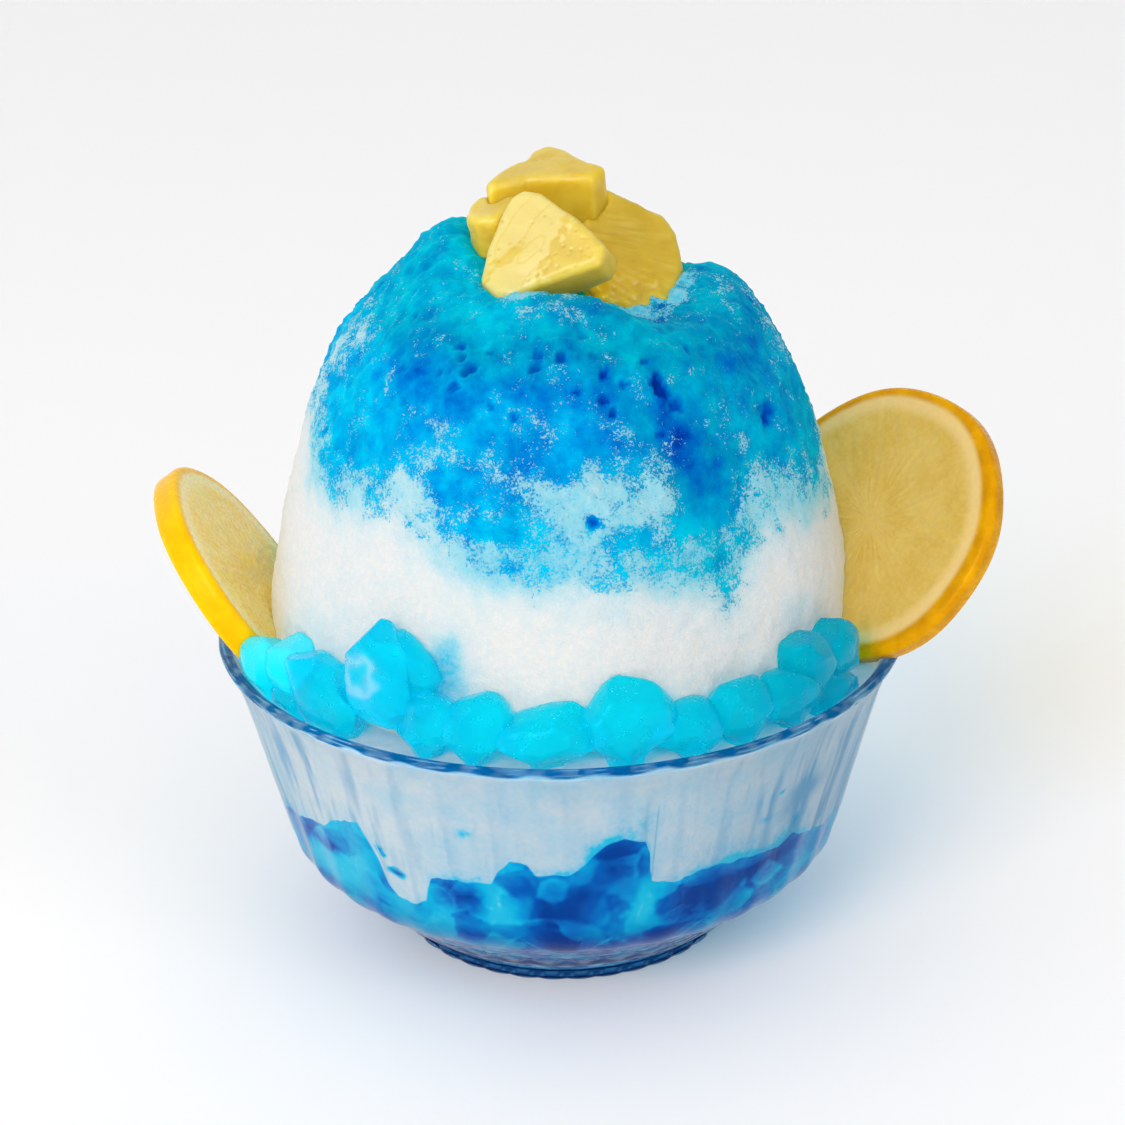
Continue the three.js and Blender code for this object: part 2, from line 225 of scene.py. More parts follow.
def mound_radius(azimuth, up):
    turn = np.radians(azimuth)
    fall = np.maximum(1 - up**TOP_POWER, 0) ** SIDE_POWER
    lumps = 1
    for share, number, twist, start in SIDE_WAVES:
        lumps = lumps + share * np.sin(number * turn + twist * up + start)
    return MOUND_RADIUS * fall * lumps


def top_offset(x, y):
    rises = [h * bell(x - at_x, wx) * bell(y - at_y, wy) for at_x, at_y, wx, wy, h in TOP_RELIEF]
    return sum(rises)


# ---------------- meshes


def mesh_from(name, points, faces):
    mesh = bpy.data.meshes.new(name)
    mesh.from_pydata((points * MM).tolist(), [], faces)
    mesh.validate()
    mesh.shade_smooth()
    return mesh


def ring_grid(azimuths, rings):
    """A row of points for each ring's radius and height, either of which may vary along the ring."""
    return np.stack([polar(azimuths, radius, z) for radius, z in rings])


def turned_faces(grid):
    """Faces of a closed grid with a point at each end: the first and the last point of the mesh."""
    rows, columns = grid.shape[:2]
    index = 1 + np.arange(rows * columns).reshape(rows, columns)
    after = np.roll(index, -1, axis=1)
    quads = np.stack([index[:-1], after[:-1], after[1:], index[1:]], axis=-1).reshape(-1, 4)
    last = rows * columns + 1
    bottom = [(0, int(b), int(a)) for a, b in zip(index[0], after[0])]
    top = [(int(a), int(b), last) for a, b in zip(index[-1], after[-1])]
    return bottom + quads.tolist() + top


def turned_points(grid):
    """The points for turned_faces: each end's point is the mean of the row next to it."""
    return np.concatenate([grid[:1].mean(1), grid.reshape(-1, 3), grid[-1:].mean(1)])


def grid_normals(grid):
    along = np.roll(grid, -1, axis=1) - np.roll(grid, 1, axis=1)
    up = np.gradient(grid, axis=0)
    normals = np.cross(along, up)
    return normals / np.maximum(np.linalg.norm(normals, axis=-1, keepdims=True), 1e-9)


def with_ends(values):
    """A grid's values for the points of turned_points."""
    return np.concatenate([[values[0].mean()], values.ravel(), [values[-1].mean()]])


def new_object(name, data):
    obj = bpy.data.objects.new(name, data)
    bpy.context.scene.collection.objects.link(obj)
    return obj


def add_piece(name, points, faces, fields, material, node):
    """A piece that stands for a node, with a number for each point under each field's name."""
    mesh = mesh_from(name, points, faces)
    for field, values in fields.items():
        made = mesh.attributes.new(field, "FLOAT", "POINT")
        made.data.foreach_set("value", np.asarray(values, np.float32).ravel())
    mesh.materials.append(material)
    obj = new_object(name, mesh)
    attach(obj, "root")
    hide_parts(node)


def remeshed(node, voxel, smoothing):
    """Points (mm), faces and vertex normals of a CAD node, remeshed evenly and smoothed."""
    copy = new_object("remeshing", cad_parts[node].data.copy())
    even = copy.modifiers.new("even", "REMESH")
    even.mode = "VOXEL"
    even.voxel_size = voxel * MM
    soft = copy.modifiers.new("soft", "SMOOTH")
    soft.factor = 0.5
    soft.iterations = smoothing
    evaluated = copy.evaluated_get(bpy.context.evaluated_depsgraph_get())
    mesh = bpy.data.meshes.new_from_object(evaluated)
    bpy.data.objects.remove(copy)
    points = np.zeros(len(mesh.vertices) * 3)
    mesh.vertices.foreach_get("co", points)
    normals = np.zeros(len(mesh.vertices) * 3)
    mesh.vertices.foreach_get("normal", normals)
    faces = [tuple(p.vertices) for p in mesh.polygons]
    return points.reshape(-1, 3) / MM, faces, normals.reshape(-1, 3)


# ---------------- materials


def tone(red, green, blue):
    """A linear colour from display values out of 255."""
    shares = [v / 255 for v in (red, green, blue)]
    return [s / 12.92 if s < 0.04045 else ((s + 0.055) / 1.055) ** 2.4 for s in shares] + [1]


def put(tree, socket, value):
    if isinstance(value, bpy.types.NodeSocket):
        tree.links.new(value, socket)
    else:
        socket.default_value = value


def new_node(tree, kind, inputs, **settings):
    """A shader node with its settings, and with a value or a link in each of the inputs."""
    node = tree.nodes.new("ShaderNode" + kind)
    for name, value in settings.items():
        setattr(node, name, value)
    for key, value in inputs.items():
        put(tree, node.inputs[key], value)
    return node


class Finish:
    """A material and short calls for the nodes that it is made of."""

    def __init__(self, name):
        self.material = bpy.data.materials.new(name)
        self.material.use_nodes = True
        self.tree = self.material.node_tree
        self.shader = self.tree.nodes["Principled BSDF"]
        self.output = self.tree.nodes["Material Output"]
        self.place = self.node("TexCoord", {}).outputs["Object"]

    def node(self, kind, inputs, **settings):
        return new_node(self.tree, kind, inputs, **settings)

    def set(self, **values):
        """Sets the shader's inputs; a name's underscores stand for spaces."""
        for name, value in values.items():
            put(self.tree, self.shader.inputs[name.replace("_", " ")], value)

    def attribute(self, name):
        return self.node("Attribute", {}, attribute_name=name).outputs["Fac"]

    def noise(self, size, detail, roughness, offset=0):
        """Noise in 0 to 1 with features as wide as size, in mm; an offset gives another pattern."""
        place = self.place
        if offset:
            place = self.node("VectorMath", {0: place, 1: (offset,) * 3}, operation="ADD").outputs[0]
        inputs = {"Vector": place, "Scale": 1 / (size * MM), "Detail": detail, "Roughness": roughness}
        return self.node("TexNoise", inputs).outputs["Fac"]

    def math(self, operation, a, b):
        return self.node("Math", {0: a, 1: b}, operation=operation).outputs[0]

    def centred(self, value):
        return self.math("SUBTRACT", value, 0.5)

    def total(self, *terms):
        """The sum of values, each times its weight."""
        sums = [self.math("MULTIPLY", value, weight) for value, weight in terms]
        result = sums[0]
        for extra in sums[1:]:
            result = self.math("ADD", result, extra)
        return result

    def spread(self, value, low, high, to_low=0.0, to_high=1.0):
        """value between low and high, eased to between to_low and to_high."""
        inputs = dict(enumerate((value, low, high, to_low, to_high)))
        return self.node("MapRange", inputs, interpolation_type="SMOOTHSTEP").outputs[0]

    def ramp(self, factor, stops):
        """The colour at factor, from stops of a position and a colour of display values."""
        node = self.node("ValToRGB", {"Fac": factor})
        elements = node.color_ramp.elements
        while len(elements) < len(stops):
            elements.new(0.5)
        for element, (position, colour) in zip(elements, stops):
            element.position = position
            element.color = tone(*colour)
        return node.outputs["Color"]

    def mix(self, factor, a, b):
        return self.node("Mix", {"Factor": factor, 6: a, 7: b}, data_type="RGBA").outputs[2]

    def bump(self, height, distance, strength):
        """Bumps as high as distance, in mm."""
        inputs = {"Height": height, "Distance": distance * MM, "Strength": strength}
        self.set(Normal=self.node("Bump", inputs).outputs["Normal"])

    def subsurface(self, radii, scale):
        """Light that wanders inside the body: how far red, green and blue go, times scale in mm."""
        self.set(Subsurface_Weight=1.0, Subsurface_Radius=radii, Subsurface_Scale=scale * MM)

    def shadow_through(self, colour):
        """Lets lamps light what is behind the surface, tinted by colour."""
        shadow = self.node("LightPath", {}).outputs["Is Shadow Ray"]
        clear = self.node("BsdfTransparent", {"Color": colour}).outputs[0]
        both = self.node("MixShader", {0: shadow, 1: self.shader.outputs[0], 2: clear})
        put(self.tree, self.output.inputs["Surface"], both.outputs[0])


# Display colours of soaked ice by how much syrup it holds, clear blue and teal, and of the snow by how
# much seeps into it.
SYRUP_TONES = [
    (0, (0, 196, 232)), (0.25, (0, 168, 220)), (0.45, (0, 142, 210)), (0.65, (0, 116, 200)),
    (0.85, (0, 86, 186)), (1, (0, 54, 156)),
]
TEAL_TONES = [
    (0, (0, 184, 204)), (0.25, (0, 158, 190)), (0.45, (0, 136, 182)), (0.65, (0, 108, 180)),
    (0.85, (0, 80, 172)), (1, (0, 52, 148)),
]
SNOW_TONES = [
    (0, (222, 220, 217)), (0.3, (204, 216, 218)), (0.6, (140, 204, 217)), (1, (70, 190, 217)),
]


def ice_finish():
    look = Finish("shaved_ice")
    stain, frost, haze, teal = (look.attribute(name) for name in ("stain", "frost", "haze", "teal"))
    crystals = look.centred(look.noise(0.55, 3, 0.8))
    clumps = look.centred(look.noise(5.5, 6, 0.72))
    mottle = look.centred(look.noise(4.2, 5, 0.6, offset=40))
    depth = look.total((stain, 1), (mottle, 1.05), (crystals, 0.3))
    soaked = look.mix(teal, look.ramp(depth, SYRUP_TONES), look.ramp(depth, TEAL_TONES))
    snow = look.ramp(look.total((haze, 1), (mottle, 0.6), (crystals, 0.5)), SNOW_TONES)
    # painted shade: grey-blue specks for the shaded hollows between the snow's grains
    hollow = look.spread(look.noise(1.2, 4, 0.75, offset=80), 0.42, 0.62, 0.3, 0)
    snow = look.mix(hollow, snow, tone(192, 208, 214))
    cover = look.spread(look.total((frost, 1), (clumps, 2.5), (crystals, 2.3)), 0.44, 0.68)
    look.set(Base_Color=look.mix(cover, soaked, snow))
    look.set(Roughness=look.spread(cover, 0, 1, 0.5, 0.8), Specular_IOR_Level=0.0)
    look.set(Sheen_Weight=0.10, Sheen_Roughness=0.25, Sheen_Tint=tone(150, 225, 250))
    look.subsurface((1.0, 1.1, 1.3), 0.35)
    look.bump(look.total((crystals, 0.8), (clumps, 0.7), (cover, 0.25)), 0.5, 0.8)
    look.shadow_through(tone(230, 245, 250))
    return look.material


# Colours of what lies against the glass, from white ice to the deepest syrup.
LAYER_TONES = [
    (0, (196, 198, 200)), (0.2, (164, 190, 202)), (0.34, (34, 182, 208)), (0.5, (0, 166, 202)),
    (0.66, (0, 132, 190)), (0.82, (0, 90, 168)), (1, (0, 56, 134)),
]


def layer_finish(name, shadow):
    """Wet ice against the glass, which lets lamps through in the shadow's colour."""
    look = Finish(name)
    stain, streak = look.attribute("stain"), look.attribute("streak")
    grain = look.noise(1.3, 3, 0.6)
    drift = look.math("MULTIPLY", look.centred(grain), 0.3)
    body = look.ramp(look.math("ADD", stain, drift), LAYER_TONES)
    # painted reflections: grey-blue streaks that the glass's flutes would show over the ice
    look.set(Base_Color=look.mix(streak, body, tone(80, 142, 180)))
    look.set(Roughness=look.spread(grain, 0.3, 0.7, 0.25, 0.5), Specular_IOR_Level=0.0)
    look.subsurface((0.8, 1.0, 1.2), 0.3)
    look.bump(grain, 0.3, 0.5)
    look.shadow_through(shadow)
    return look.material


# Colours of the glass, from clear to a painted deep blue: the syrup's light that its edges carry,
# and the blue that its cone and foot reflect.
GLASS_TONES = [
    (0, (240, 249, 252)), (0.45, (120, 206, 238)), (1, (0, 60, 132)),
]


GLASS_BEND = 1.2  # index of refraction, low because what fills the bowl shows almost unbent


def glass_finish():
    look = Finish("glass")
    # painted light: the glass turns deep blue where it is seen edge on, for the syrup's light its edges
    # carry
    facing = look.node("LayerWeight", {"Blend": 0.5}).outputs["Facing"]
    turned = look.spread(facing, 0.72, 0.97)
    blue = look.math("MAXIMUM", look.attribute("painted_blue"), turned)
    look.set(Base_Color=look.ramp(blue, GLASS_TONES))
    look.set(Roughness=look.spread(look.noise(6, 2, 0.5), 0.3, 0.7, 0.0, 0.03))
    look.set(Transmission_Weight=1.0, IOR=GLASS_BEND, Specular_Tint=tone(70, 170, 230))
    look.shadow_through(tone(235, 244, 250))
    return look.material


JELLY_SOAK = (0.0, 0.976, 0.996, 1)  # what passes through the body of the light it soaks up
JELLY_DENSITY = 600


def jelly_finish(name, clear):
    """A body that soaks up red light, under a frosted skin, and is as clear as clear says."""
    look = Finish(name)
    specks = look.spread(look.noise(0.7, 2, 0.75), 0.56, 0.68)
    clusters = look.math("ADD", look.attribute("frost"), look.noise(3.6, 3, 0.65))
    frost = look.math("MULTIPLY", specks, look.spread(clusters, 0.74, 0.88))
    # painted shade: pieces further right, turned from the lamps, take the darker body colour
    body = look.mix(look.attribute("deep"), tone(8, 230, 244), tone(0, 198, 212))
    pale = look.math("MAXIMUM", look.math("MULTIPLY", frost, 0.7), look.attribute("milk"))
    look.set(Base_Color=look.mix(pale, body, tone(186, 242, 250)))
    dull = look.math("ADD", frost, look.noise(2.5, 2, 0.6))
    look.set(Roughness=look.spread(dull, 0.3, 1.3, 0.16, 0.6))
    look.set(Transmission_Weight=clear, IOR=1.34, Specular_Tint=tone(60, 200, 240))
    look.bump(look.total((look.noise(1.8, 3, 0.6), 1), (frost, 0.4)), 0.25, 0.5)
    look.shadow_through(tone(170, 240, 250))
    soak = look.node("VolumeAbsorption", {"Color": JELLY_SOAK, "Density": JELLY_DENSITY})
    put(look.tree, look.output.inputs["Volume"], soak.outputs["Volume"])
    return look.material


def lemon_finish(name, tones):
    """Flesh, its paler parts, membranes, pith, rind and its brighter parts are the tones."""
    low, high, skin, white, dull, bright = tones
    look = Finish(name)
    ring = look.attribute("ring")
    fibre = look.noise(1.1, 3, 0.6)
    cloud = look.noise(8, 3, 0.55)
    flesh = look.mix(look.spread(cloud, 0.36, 0.66), low, high)
    flesh = look.mix(look.spread(fibre, 0.45, 0.75, 0, 0.3), flesh, skin)
    flesh = look.mix(look.spread(look.attribute("pulp"), 0, 1, 0.14, 0), flesh, skin)
    rind = look.mix(look.spread(look.noise(5, 2, 0.5), 0.35, 0.7), dull, bright)
    inner = look.mix(look.spread(ring, 0.78, 0.88), flesh, white)
    look.set(Base_Color=look.mix(look.spread(ring, 0.905, 0.955), inner, rind))
    look.set(Roughness=look.spread(fibre, 0.3, 0.7, 0.18, 0.4))
    look.set(Specular_IOR_Level=0.2, Specular_Tint=tone(255, 225, 130))
    look.subsurface((1.4, 1.0, 0.4), 2.5)
    look.bump(look.math("ADD", fibre, look.noise(0.7, 1, 0.5)), 0.1, 0.4)
    look.shadow_through(tone(250, 232, 170))
    return look.material


def pineapple_finish():
    look = Finish("pineapple")
    cloud = look.spread(look.noise(5, 2, 0.5), 0.3, 0.7)
    fibre = look.spread(look.attribute("fibre"), 0.3, 0.9, 0, 0.5)
    body = look.mix(cloud, tone(204, 172, 36), tone(216, 188, 58))
    body = look.mix(fibre, body, tone(226, 206, 104))
    # painted shade: the right piece, turned from the lamps, is darkened most towards the top of its face
    body = look.mix(look.attribute("shade"), body, tone(166, 138, 30))
    # painted sheen: the pale colour stands for the lamps' wet sheen on the front piece and the lit tops
    # of the others
    look.set(Base_Color=look.mix(look.attribute("pale"), body, tone(220, 202, 124)))
    look.set(Roughness=look.spread(look.attribute("wet"), 0, 1, 0.36, 0.08), Specular_IOR_Level=0.4)
    look.subsurface((1.1, 1.0, 0.4), 6)
    look.bump(look.noise(1.6, 2, 0.5), 0.2, 0.3)
    look.shadow_through(tone(252, 240, 180))
    return look.material


# ---------------- the glass bowl


POINTS_A_FLUTE = 16
UNDERSIDE = 0.5  # height of the hollow under the foot
FOOT_SIDE = [(-0.7, 0.25), (-0.15, 0.8), (0, 1.6), (0, 2.4), (-0.25, 3.1)]  # reach past it, and height
BEAD_DEPTH, FACET_DEPTH = 0.5, 0.7  # of the beads round the foot and the facets cut into the cone
SCALLOP = 0.3  # how far the rim hangs down over the middle of a flute
UNEVEN = 0.1  # how far the glass is off its true form
CONE_PAINTED_BLUE, FOOT_PAINTED_BLUE, SEAM_PAINTED_BLUE = 0.36, 0.56, 0.5  # how much painted blue the glass shows there


def bowl_rings(azimuths):
    """Rings from the middle of the underside up the outside, over the rim and down to the floor."""
    wave = (1 - np.cos(np.radians(FLUTES * azimuths))) / 2
    slant = np.radians(FLUTES * azimuths / 2)
    foot = FOOT_RADIUS + FULLER_FOOT
    beads = BEAD_DEPTH * np.abs(np.sin(slant))
    rings = [(radius, UNDERSIDE) for radius in np.linspace(4, foot - 4.4, 8)]
    rings += [(foot - 3.4, 0.1), (foot - 2.8, 0), (foot - FOOT_EDGE, 0)]
    rings += [(foot + out - BEAD_DEPTH + beads, z) for out, z in FOOT_SIDE]
    for z in np.linspace(3.8, SHOULDER_HEIGHT - 1, 26):
        facets = crossing(slant, (z - 4) * 0.5)
        carved = FACET_DEPTH * ease(z, 7, 10) * (1 - ease(z, 17, 21)) * (1 - facets) ** 2
        carved += FLUTE_DEPTH * ease(z, 15, 22) * wave
        rings.append((outer_radius(z) + FULLER_FOOT * ease(z, 14, 4) - carved, z))
    for z in np.linspace(SHOULDER_HEIGHT, BOWL_HEIGHT - 2.6, 38):
        rings.append((outer_radius(z) - FLUTE_DEPTH * wave**0.8, z))
    for z in np.linspace(BOWL_HEIGHT - 2.4, BOWL_HEIGHT - 1.9, 3):
        rings.append((outer_radius(z) - FLUTE_DEPTH * wave, z))
    half = WALL / 2
    for turn in np.radians(np.linspace(-15, 170, 21)):
        out = math.cos(turn)
        hang = SCALLOP * max(out, 0) ** 2 * wave
        z = BOWL_HEIGHT - RIM_TURN + RIM_TURN * math.sin(turn) - hang
        rings.append((RIM_RADIUS - half + out * half - 0.3 * hang, z))
    for z in np.linspace(BOWL_HEIGHT - 1.4, FLOOR + 1.2, 32):
        rings.append((inner_radius(z), z))
    rings.append((inner_radius(FLOOR + 0.4) - 0.3, FLOOR + 0.4))
    return rings + [(radius, FLOOR) for radius in np.linspace(inner_radius(FLOOR) - 1.5, 4, 8)]


def bowl_painted_blue(points):
    """How much painted blue the glass shows along its rim, in its cone and foot, and at the mould's
    seam.
    """
    azimuth, z = azimuth_of(points), points[:, 2]
    reach = np.hypot(points[:, 0], points[:, 1])
    height = z + 0.35 * np.cos(np.radians(FLUTES * azimuth)) + 0.35 * noise(points, 6, 5)
    turned = np.degrees(np.arctan2(z - BOWL_HEIGHT + RIM_TURN, reach - RIM_RADIUS + WALL / 2))
    # painted highlights: clear lines round the rim where the lamps would glint
    clear = bell(turned - 66 - 10 * noise(points, 6, 9), 5)
    clear += 0.6 * bell(turned - 14 - 16 * noise(points, 5, 11), 5)
    clear *= 0.75 * ease(noise(points, 4, 13), -0.1, 0.3)
    # painted light: the rim's deep blue stands for the syrup's light that the glass carries up to it
    rim = ease(height, BOWL_HEIGHT - 1.5, BOWL_HEIGHT - 1)
    rim *= 0.97 + 0.2 * noise(points, 3, 7) - clear
    # painted light: a thin blue line down the mould's seam
    seam = SEAM_PAINTED_BLUE * bell(angle_between(azimuth, SEAM), 0.14)
    seam *= ease(z, 37, 40) * ease(z, 61, 57)
    # painted light: blue in the cone and the foot for the syrup seen through the base and the blue-lit
    # floor they reflect
    cone = CONE_PAINTED_BLUE * ease(z, 32, 20) + FOOT_PAINTED_BLUE * ease(z, 9.8, 8.2)
    # painted highlights: clear arcs along the foot's beads
    arcs = 0.6 + 1.9 * np.abs(np.sin(np.radians(FLUTES * azimuth / 2)))
    on_foot = ease(reach, FOOT_RADIUS - 2, FOOT_RADIUS)
    cone *= 1 - 0.9 * on_foot * bell(z - arcs, 0.3)
    return np.maximum(np.maximum(rim, cone), seam)


def bowl_piece():
    near_seam = SEAM + np.linspace(-0.5, 0.5, 13)
    azimuths = np.sort(np.concatenate([full_circle(FLUTES * POINTS_A_FLUTE), near_seam]))
    grid = ring_grid(azimuths, bowl_rings(azimuths))
    flat = grid.reshape(-1, 3)
    z = flat[:, 2]
    off_table = ease(z, 0.3, 3) * (0.3 + 0.7 * ease(z, 8, 14))
    below_rim = 1 - ease(z, BOWL_HEIGHT - 3, BOWL_HEIGHT - 1.5)
    uneven = UNEVEN * rough_noise(flat, 9, 3, 2) * off_table * below_rim
    flat = flat + grid_normals(grid).reshape(-1, 3) * uneven[:, None]
    points = turned_points(flat.reshape(grid.shape))
    fields = {"painted_blue": bowl_painted_blue(points)}
    add_piece("bowl_glass", points, turned_faces(grid), fields, glass_finish(), "bowl")


# ---------------- what fills the bowl

# Upper edge of the syrup layer against the glass: azimuth and height.
LAYER_EDGE = [
    (-180, 44), (-150, 42), (-120, 45), (-100, 40), (-85, 38), (-73, 36), (-66, 38), (-59, 40),
    (-52, 42), (-48, 45.3), (-41, 47.8), (-39.6, 44), (-38, 39), (-37.2, 33), (-35, 29.6), (-31, 29),
    (-28.5, 31), (-27.5, 35), (-26.3, 38), (-18, 38.8), (-14, 39.5), (-12.5, 43), (-10, 45.8), (-7, 45),
    (-5.5, 42), (0.6, 42.4), (4, 45.6), (7.2, 49.7), (10.5, 51.2), (14.6, 49.8), (15.7, 46),
    (16.2, 38.8), (21, 37.3), (25.5, 38.6), (31, 39.1), (36, 38.4), (46, 37.5), (50, 39), (55, 36.5),
    (62, 35), (70, 34), (85, 37), (100, 42), (120, 40), (140, 36), (160, 41), (180, 44),
]

# Patches of colour against the glass: azimuth, height, width in degrees, height of the patch, and how
# much more or less syrup than around it.
LAYER_PATCHES = [
    (-68, 36, 5, 2.6, 0.3), (-60, 36.5, 5, 2.4, 0.34), (-53, 35.5, 4, 2.2, 0.3), (-44, 39, 5, 7, -0.1),
    (-54.5, 31.5, 3.2, 2.4, -0.34), (-60, 29, 6, 3, -0.08), (-40, 26, 5, 2.6, 0.14),
    (-20, 34.4, 5.6, 3.8, 0.4), (-24, 26, 6, 3, -0.06), (-12.6, 31.5, 2.6, 5, -0.24),
    (2, 32, 9, 9, 0.42), (9.5, 44.5, 5.6, 6, 0.38), (-3.5, 30, 2.4, 3.4, 0.14), (7, 20, 14, 3.5, 0.22),
    (15.3, 31.5, 2.4, 5, -0.36), (17, 37, 3, 1.6, -0.14), (29, 31, 8, 7.5, 0.42),
    (41, 34, 9, 5.5, 0.34), (52, 36, 6, 3, 0.16), (61, 29, 6, 5, -0.08), (44, 26, 6, 3, -0.04),
    (-18.3, 52.1, 2.2, 1.2, 0.22), (40.3, 47.1, 1.8, 1, 0.24), (-9, 45.6, 3.6, 1.8, -0.06),
    (12, 54, 5, 2.6, 0.06), (-2, 57, 2, 1, 0.08), (-32, 45, 4, 6, -0.06), (0, 11, 12, 3, -0.1),
    (-54, 30.5, 9, 4, -0.12), (-22, 15, 18, 6, -0.14),
]

# Bubbles of air and syrup by the glass in the white drip: azimuth, height, widths and syrup.
BUBBLES = [
    (-37.2, 41.6, 0.9, 0.8, 0.8), (-36.4, 40.4, 0.7, 0.6, 0.7), (-34.6, 36.9, 1.7, 0.8, 0.9),
    (-33.2, 36, 1.2, 0.7, 0.8), (49.2, 42.4, 0.5, 1.3, 0.7), (42.3, 53, 0.5, 0.5, 0.5),
]

# Where the painted streaks of the flutes gather to a grey-blue blot: azimuth, height, widths and
# strength.
STREAK_PATCHES = [
    (50, 50.5, 5.5, 3, 0.75), (46, 46.5, 3, 2.5, 0.4), (66, 44, 3, 7, 0.4), (14.2, 52, 0.5, 8, 0.4),
]
MOST_STREAK = 0.85
LEAST_SYRUP = 0.36  # what even the palest part of the syrup layer holds
SYRUP_COLUMNS, FILL_COLUMNS = 720, 600


def layer_stain(points, level):
    """How much syrup shows at points on the wall of what fills the bowl, with the lines of the cone's
    facets painted in.
    """
    azimuth, z = azimuth_of(points), points[:, 2]
    distance, number = nearest_cell(points * [1, 1, 1.3] + noise(points, 4, 27)[:, None], 7.5, 29)
    chunks = (number - 0.5) * 0.32 - 0.06 * ease(distance, 2.6, 3.8)
    soaked = ease(level, 0.3, 0.5)
    stain = level + 0.12 * rough_noise(points * [1, 1, 1.6], 13, 31) + chunks * (0.2 + 0.8 * soaked)
    stain += 0.05 * soaked * rough_noise(points * [1, 1, 2.2], 3, 39)
    # painted light: paler lines where the cone's cut facets would bend light into view, with deeper
    # syrup between them
    facets = crossing(np.radians(FLUTES / 4 * azimuth), (z - 14) * 0.16)
    on_cone = ease(z, 27, 21) * ease(z, 7, 9)
    stain -= on_cone * (0.28 * ease(facets, 0.08, 0.0) - 0.16 * (facets - 0.4))
    wavy_azimuth = azimuth + 1.6 * rough_noise(points, 7, 21)
    wavy_z = z + noise(points, 5, 25)
    return stain + patches(wavy_azimuth, wavy_z, LAYER_PATCHES) + patches(azimuth, z, BUBBLES)


def streaks(points):
    """Painted grey-blue streaks for what the flutes reflect and bend down the wall, strongest towards
    the sides.
    """
    azimuth, z = azimuth_of(points), points[:, 2]
    stretched = np.stack([azimuth * 0.9, z * 0.08, azimuth * 0], axis=-1)
    flute = np.cos(np.radians(FLUTES * azimuth + 70 * noise(stretched, 6, 37)))
    lines = ease(rough_noise(stretched, 2.0, 35, 2) + 0.4 * flute, 0.0, 0.8)
    hairs = 0.5 * ease(noise(stretched, 0.9, 45), 0.2, 0.5)
    drawn = (0.14 + 0.61 * ease(np.abs(azimuth), 14, 62)) * (lines + hairs)
    drawn += 0.08 * ease(azimuth, -40, -5) + 0.14 * ease(azimuth, 10, 45)
    return np.clip(drawn + patches(azimuth, z, STREAK_PATCHES), 0, MOST_STREAK)


def syrup_piece():
    azimuths = full_circle(SYRUP_COLUMNS, -180)
    circle = polar(azimuths, 60.0, 0)
    edge = around(azimuths, LAYER_EDGE) + 0.7 * noise(circle, 4, 41) + 0.4 * noise(circle, 1.6, 43)
    bottom = FLOOR - INTO_GLASS
    rings = [(radius, bottom) for radius in np.linspace(3, inner_radius(FLOOR) - 1.2, 8)]
    for share in np.linspace(0.02, 1, 72):
        z = bottom + 0.6 + (edge - 0.4 - bottom - 0.6) * share
        rings.append((inner_radius(z) + INTO_GLASS + 0.05, z))
    for out in np.linspace(0.985, 0.05, 12):
        z = edge + (SYRUP_MIDDLE - edge) * (1 - out**2)
        rings.append(((inner_radius(edge) + INTO_GLASS) * out, z))
    grid = ring_grid(azimuths, rings)
    points = turned_points(grid)
    level = 0.60 + 0.12 * ease(points[:, 2], 30, 14)
    stain = np.maximum(layer_stain(points, level), LEAST_SYRUP)
    # faint painted streaks of the flutes on the syrup
    fields = {"stain": stain, "streak": 0.12 * streaks(points)}
    finish = layer_finish("syrup_layer", tone(0, 236, 240))
    add_piece("syrup_layer", points, turned_faces(grid), fields, finish, "syrup_base")


def fill_piece():
    azimuths = full_circle(FILL_COLUMNS, -180)
    low = around(azimuths, LAYER_EDGE) - 4
    rings = [(inner_radius(low) * out, low) for out in np.linspace(0.1, 0.9, 6)]
    for share in np.linspace(0, 1, 44):
        z = low + (FILL_TOP - low) * share
        rings.append((inner_radius(z) + INTO_GLASS, z))
    circle = polar(azimuths, 66.0, 70)
    for out in np.linspace(0.992, 0.8, 18):
        crumbs = 0.7 * rough_noise(circle * out, 5, 51) * ease(out, 1, 0.97)
        z = FILL_TOP + 0.6 * ease(1 - out, 0, 0.1) + crumbs
        rings.append((inner_radius(FILL_TOP) * out, z))
    rings += [(inner_radius(FILL_TOP) * out, FILL_TOP + 0.6) for out in (0.6, 0.3, 0.05)]
    grid = ring_grid(azimuths, rings)
    points = turned_points(grid)
    azimuth, z = azimuth_of(points), points[:, 2]
    level = 0.12 + 0.08 * bell(z - around(azimuth, LAYER_EDGE), 1.6)
    level -= 0.05 * ease(azimuth, -10, -40)
    # painted streaks of the flutes, up to where the ice leaves the wall
    fields = {"stain": layer_stain(points, level), "streak": streaks(points) * ease(z, 68.2, 66)}
    finish = layer_finish("ice_fill", tone(215, 240, 250))
    add_piece("ice_fill", points, turned_faces(grid), fields, finish, "shaved_ice")


# ---------------- the mound of shaved ice

# Lower edge of the syrup-blue cap: azimuth and height.
CAP_EDGE = [
    (-180, 116), (-150, 121), (-120, 118), (-98, 124), (-80, 128), (-66, 120), (-56, 117), (-46, 118),
    (-37, 121), (-24, 117), (-16, 116), (-5, 117), (3, 122), (16, 121), (27, 117), (35, 106), (41, 113),
    (50, 118), (64, 114), (76, 109), (95, 117), (120, 111), (150, 119), (180, 116),
]

# How far below that edge the blue breaks up into patches and is gone.
CAP_FADE = [(-180, 8), (-70, 5), (-40, 5), (-20, 7), (0, 12), (25, 14), (42, 10), (70, 7), (180, 8)]

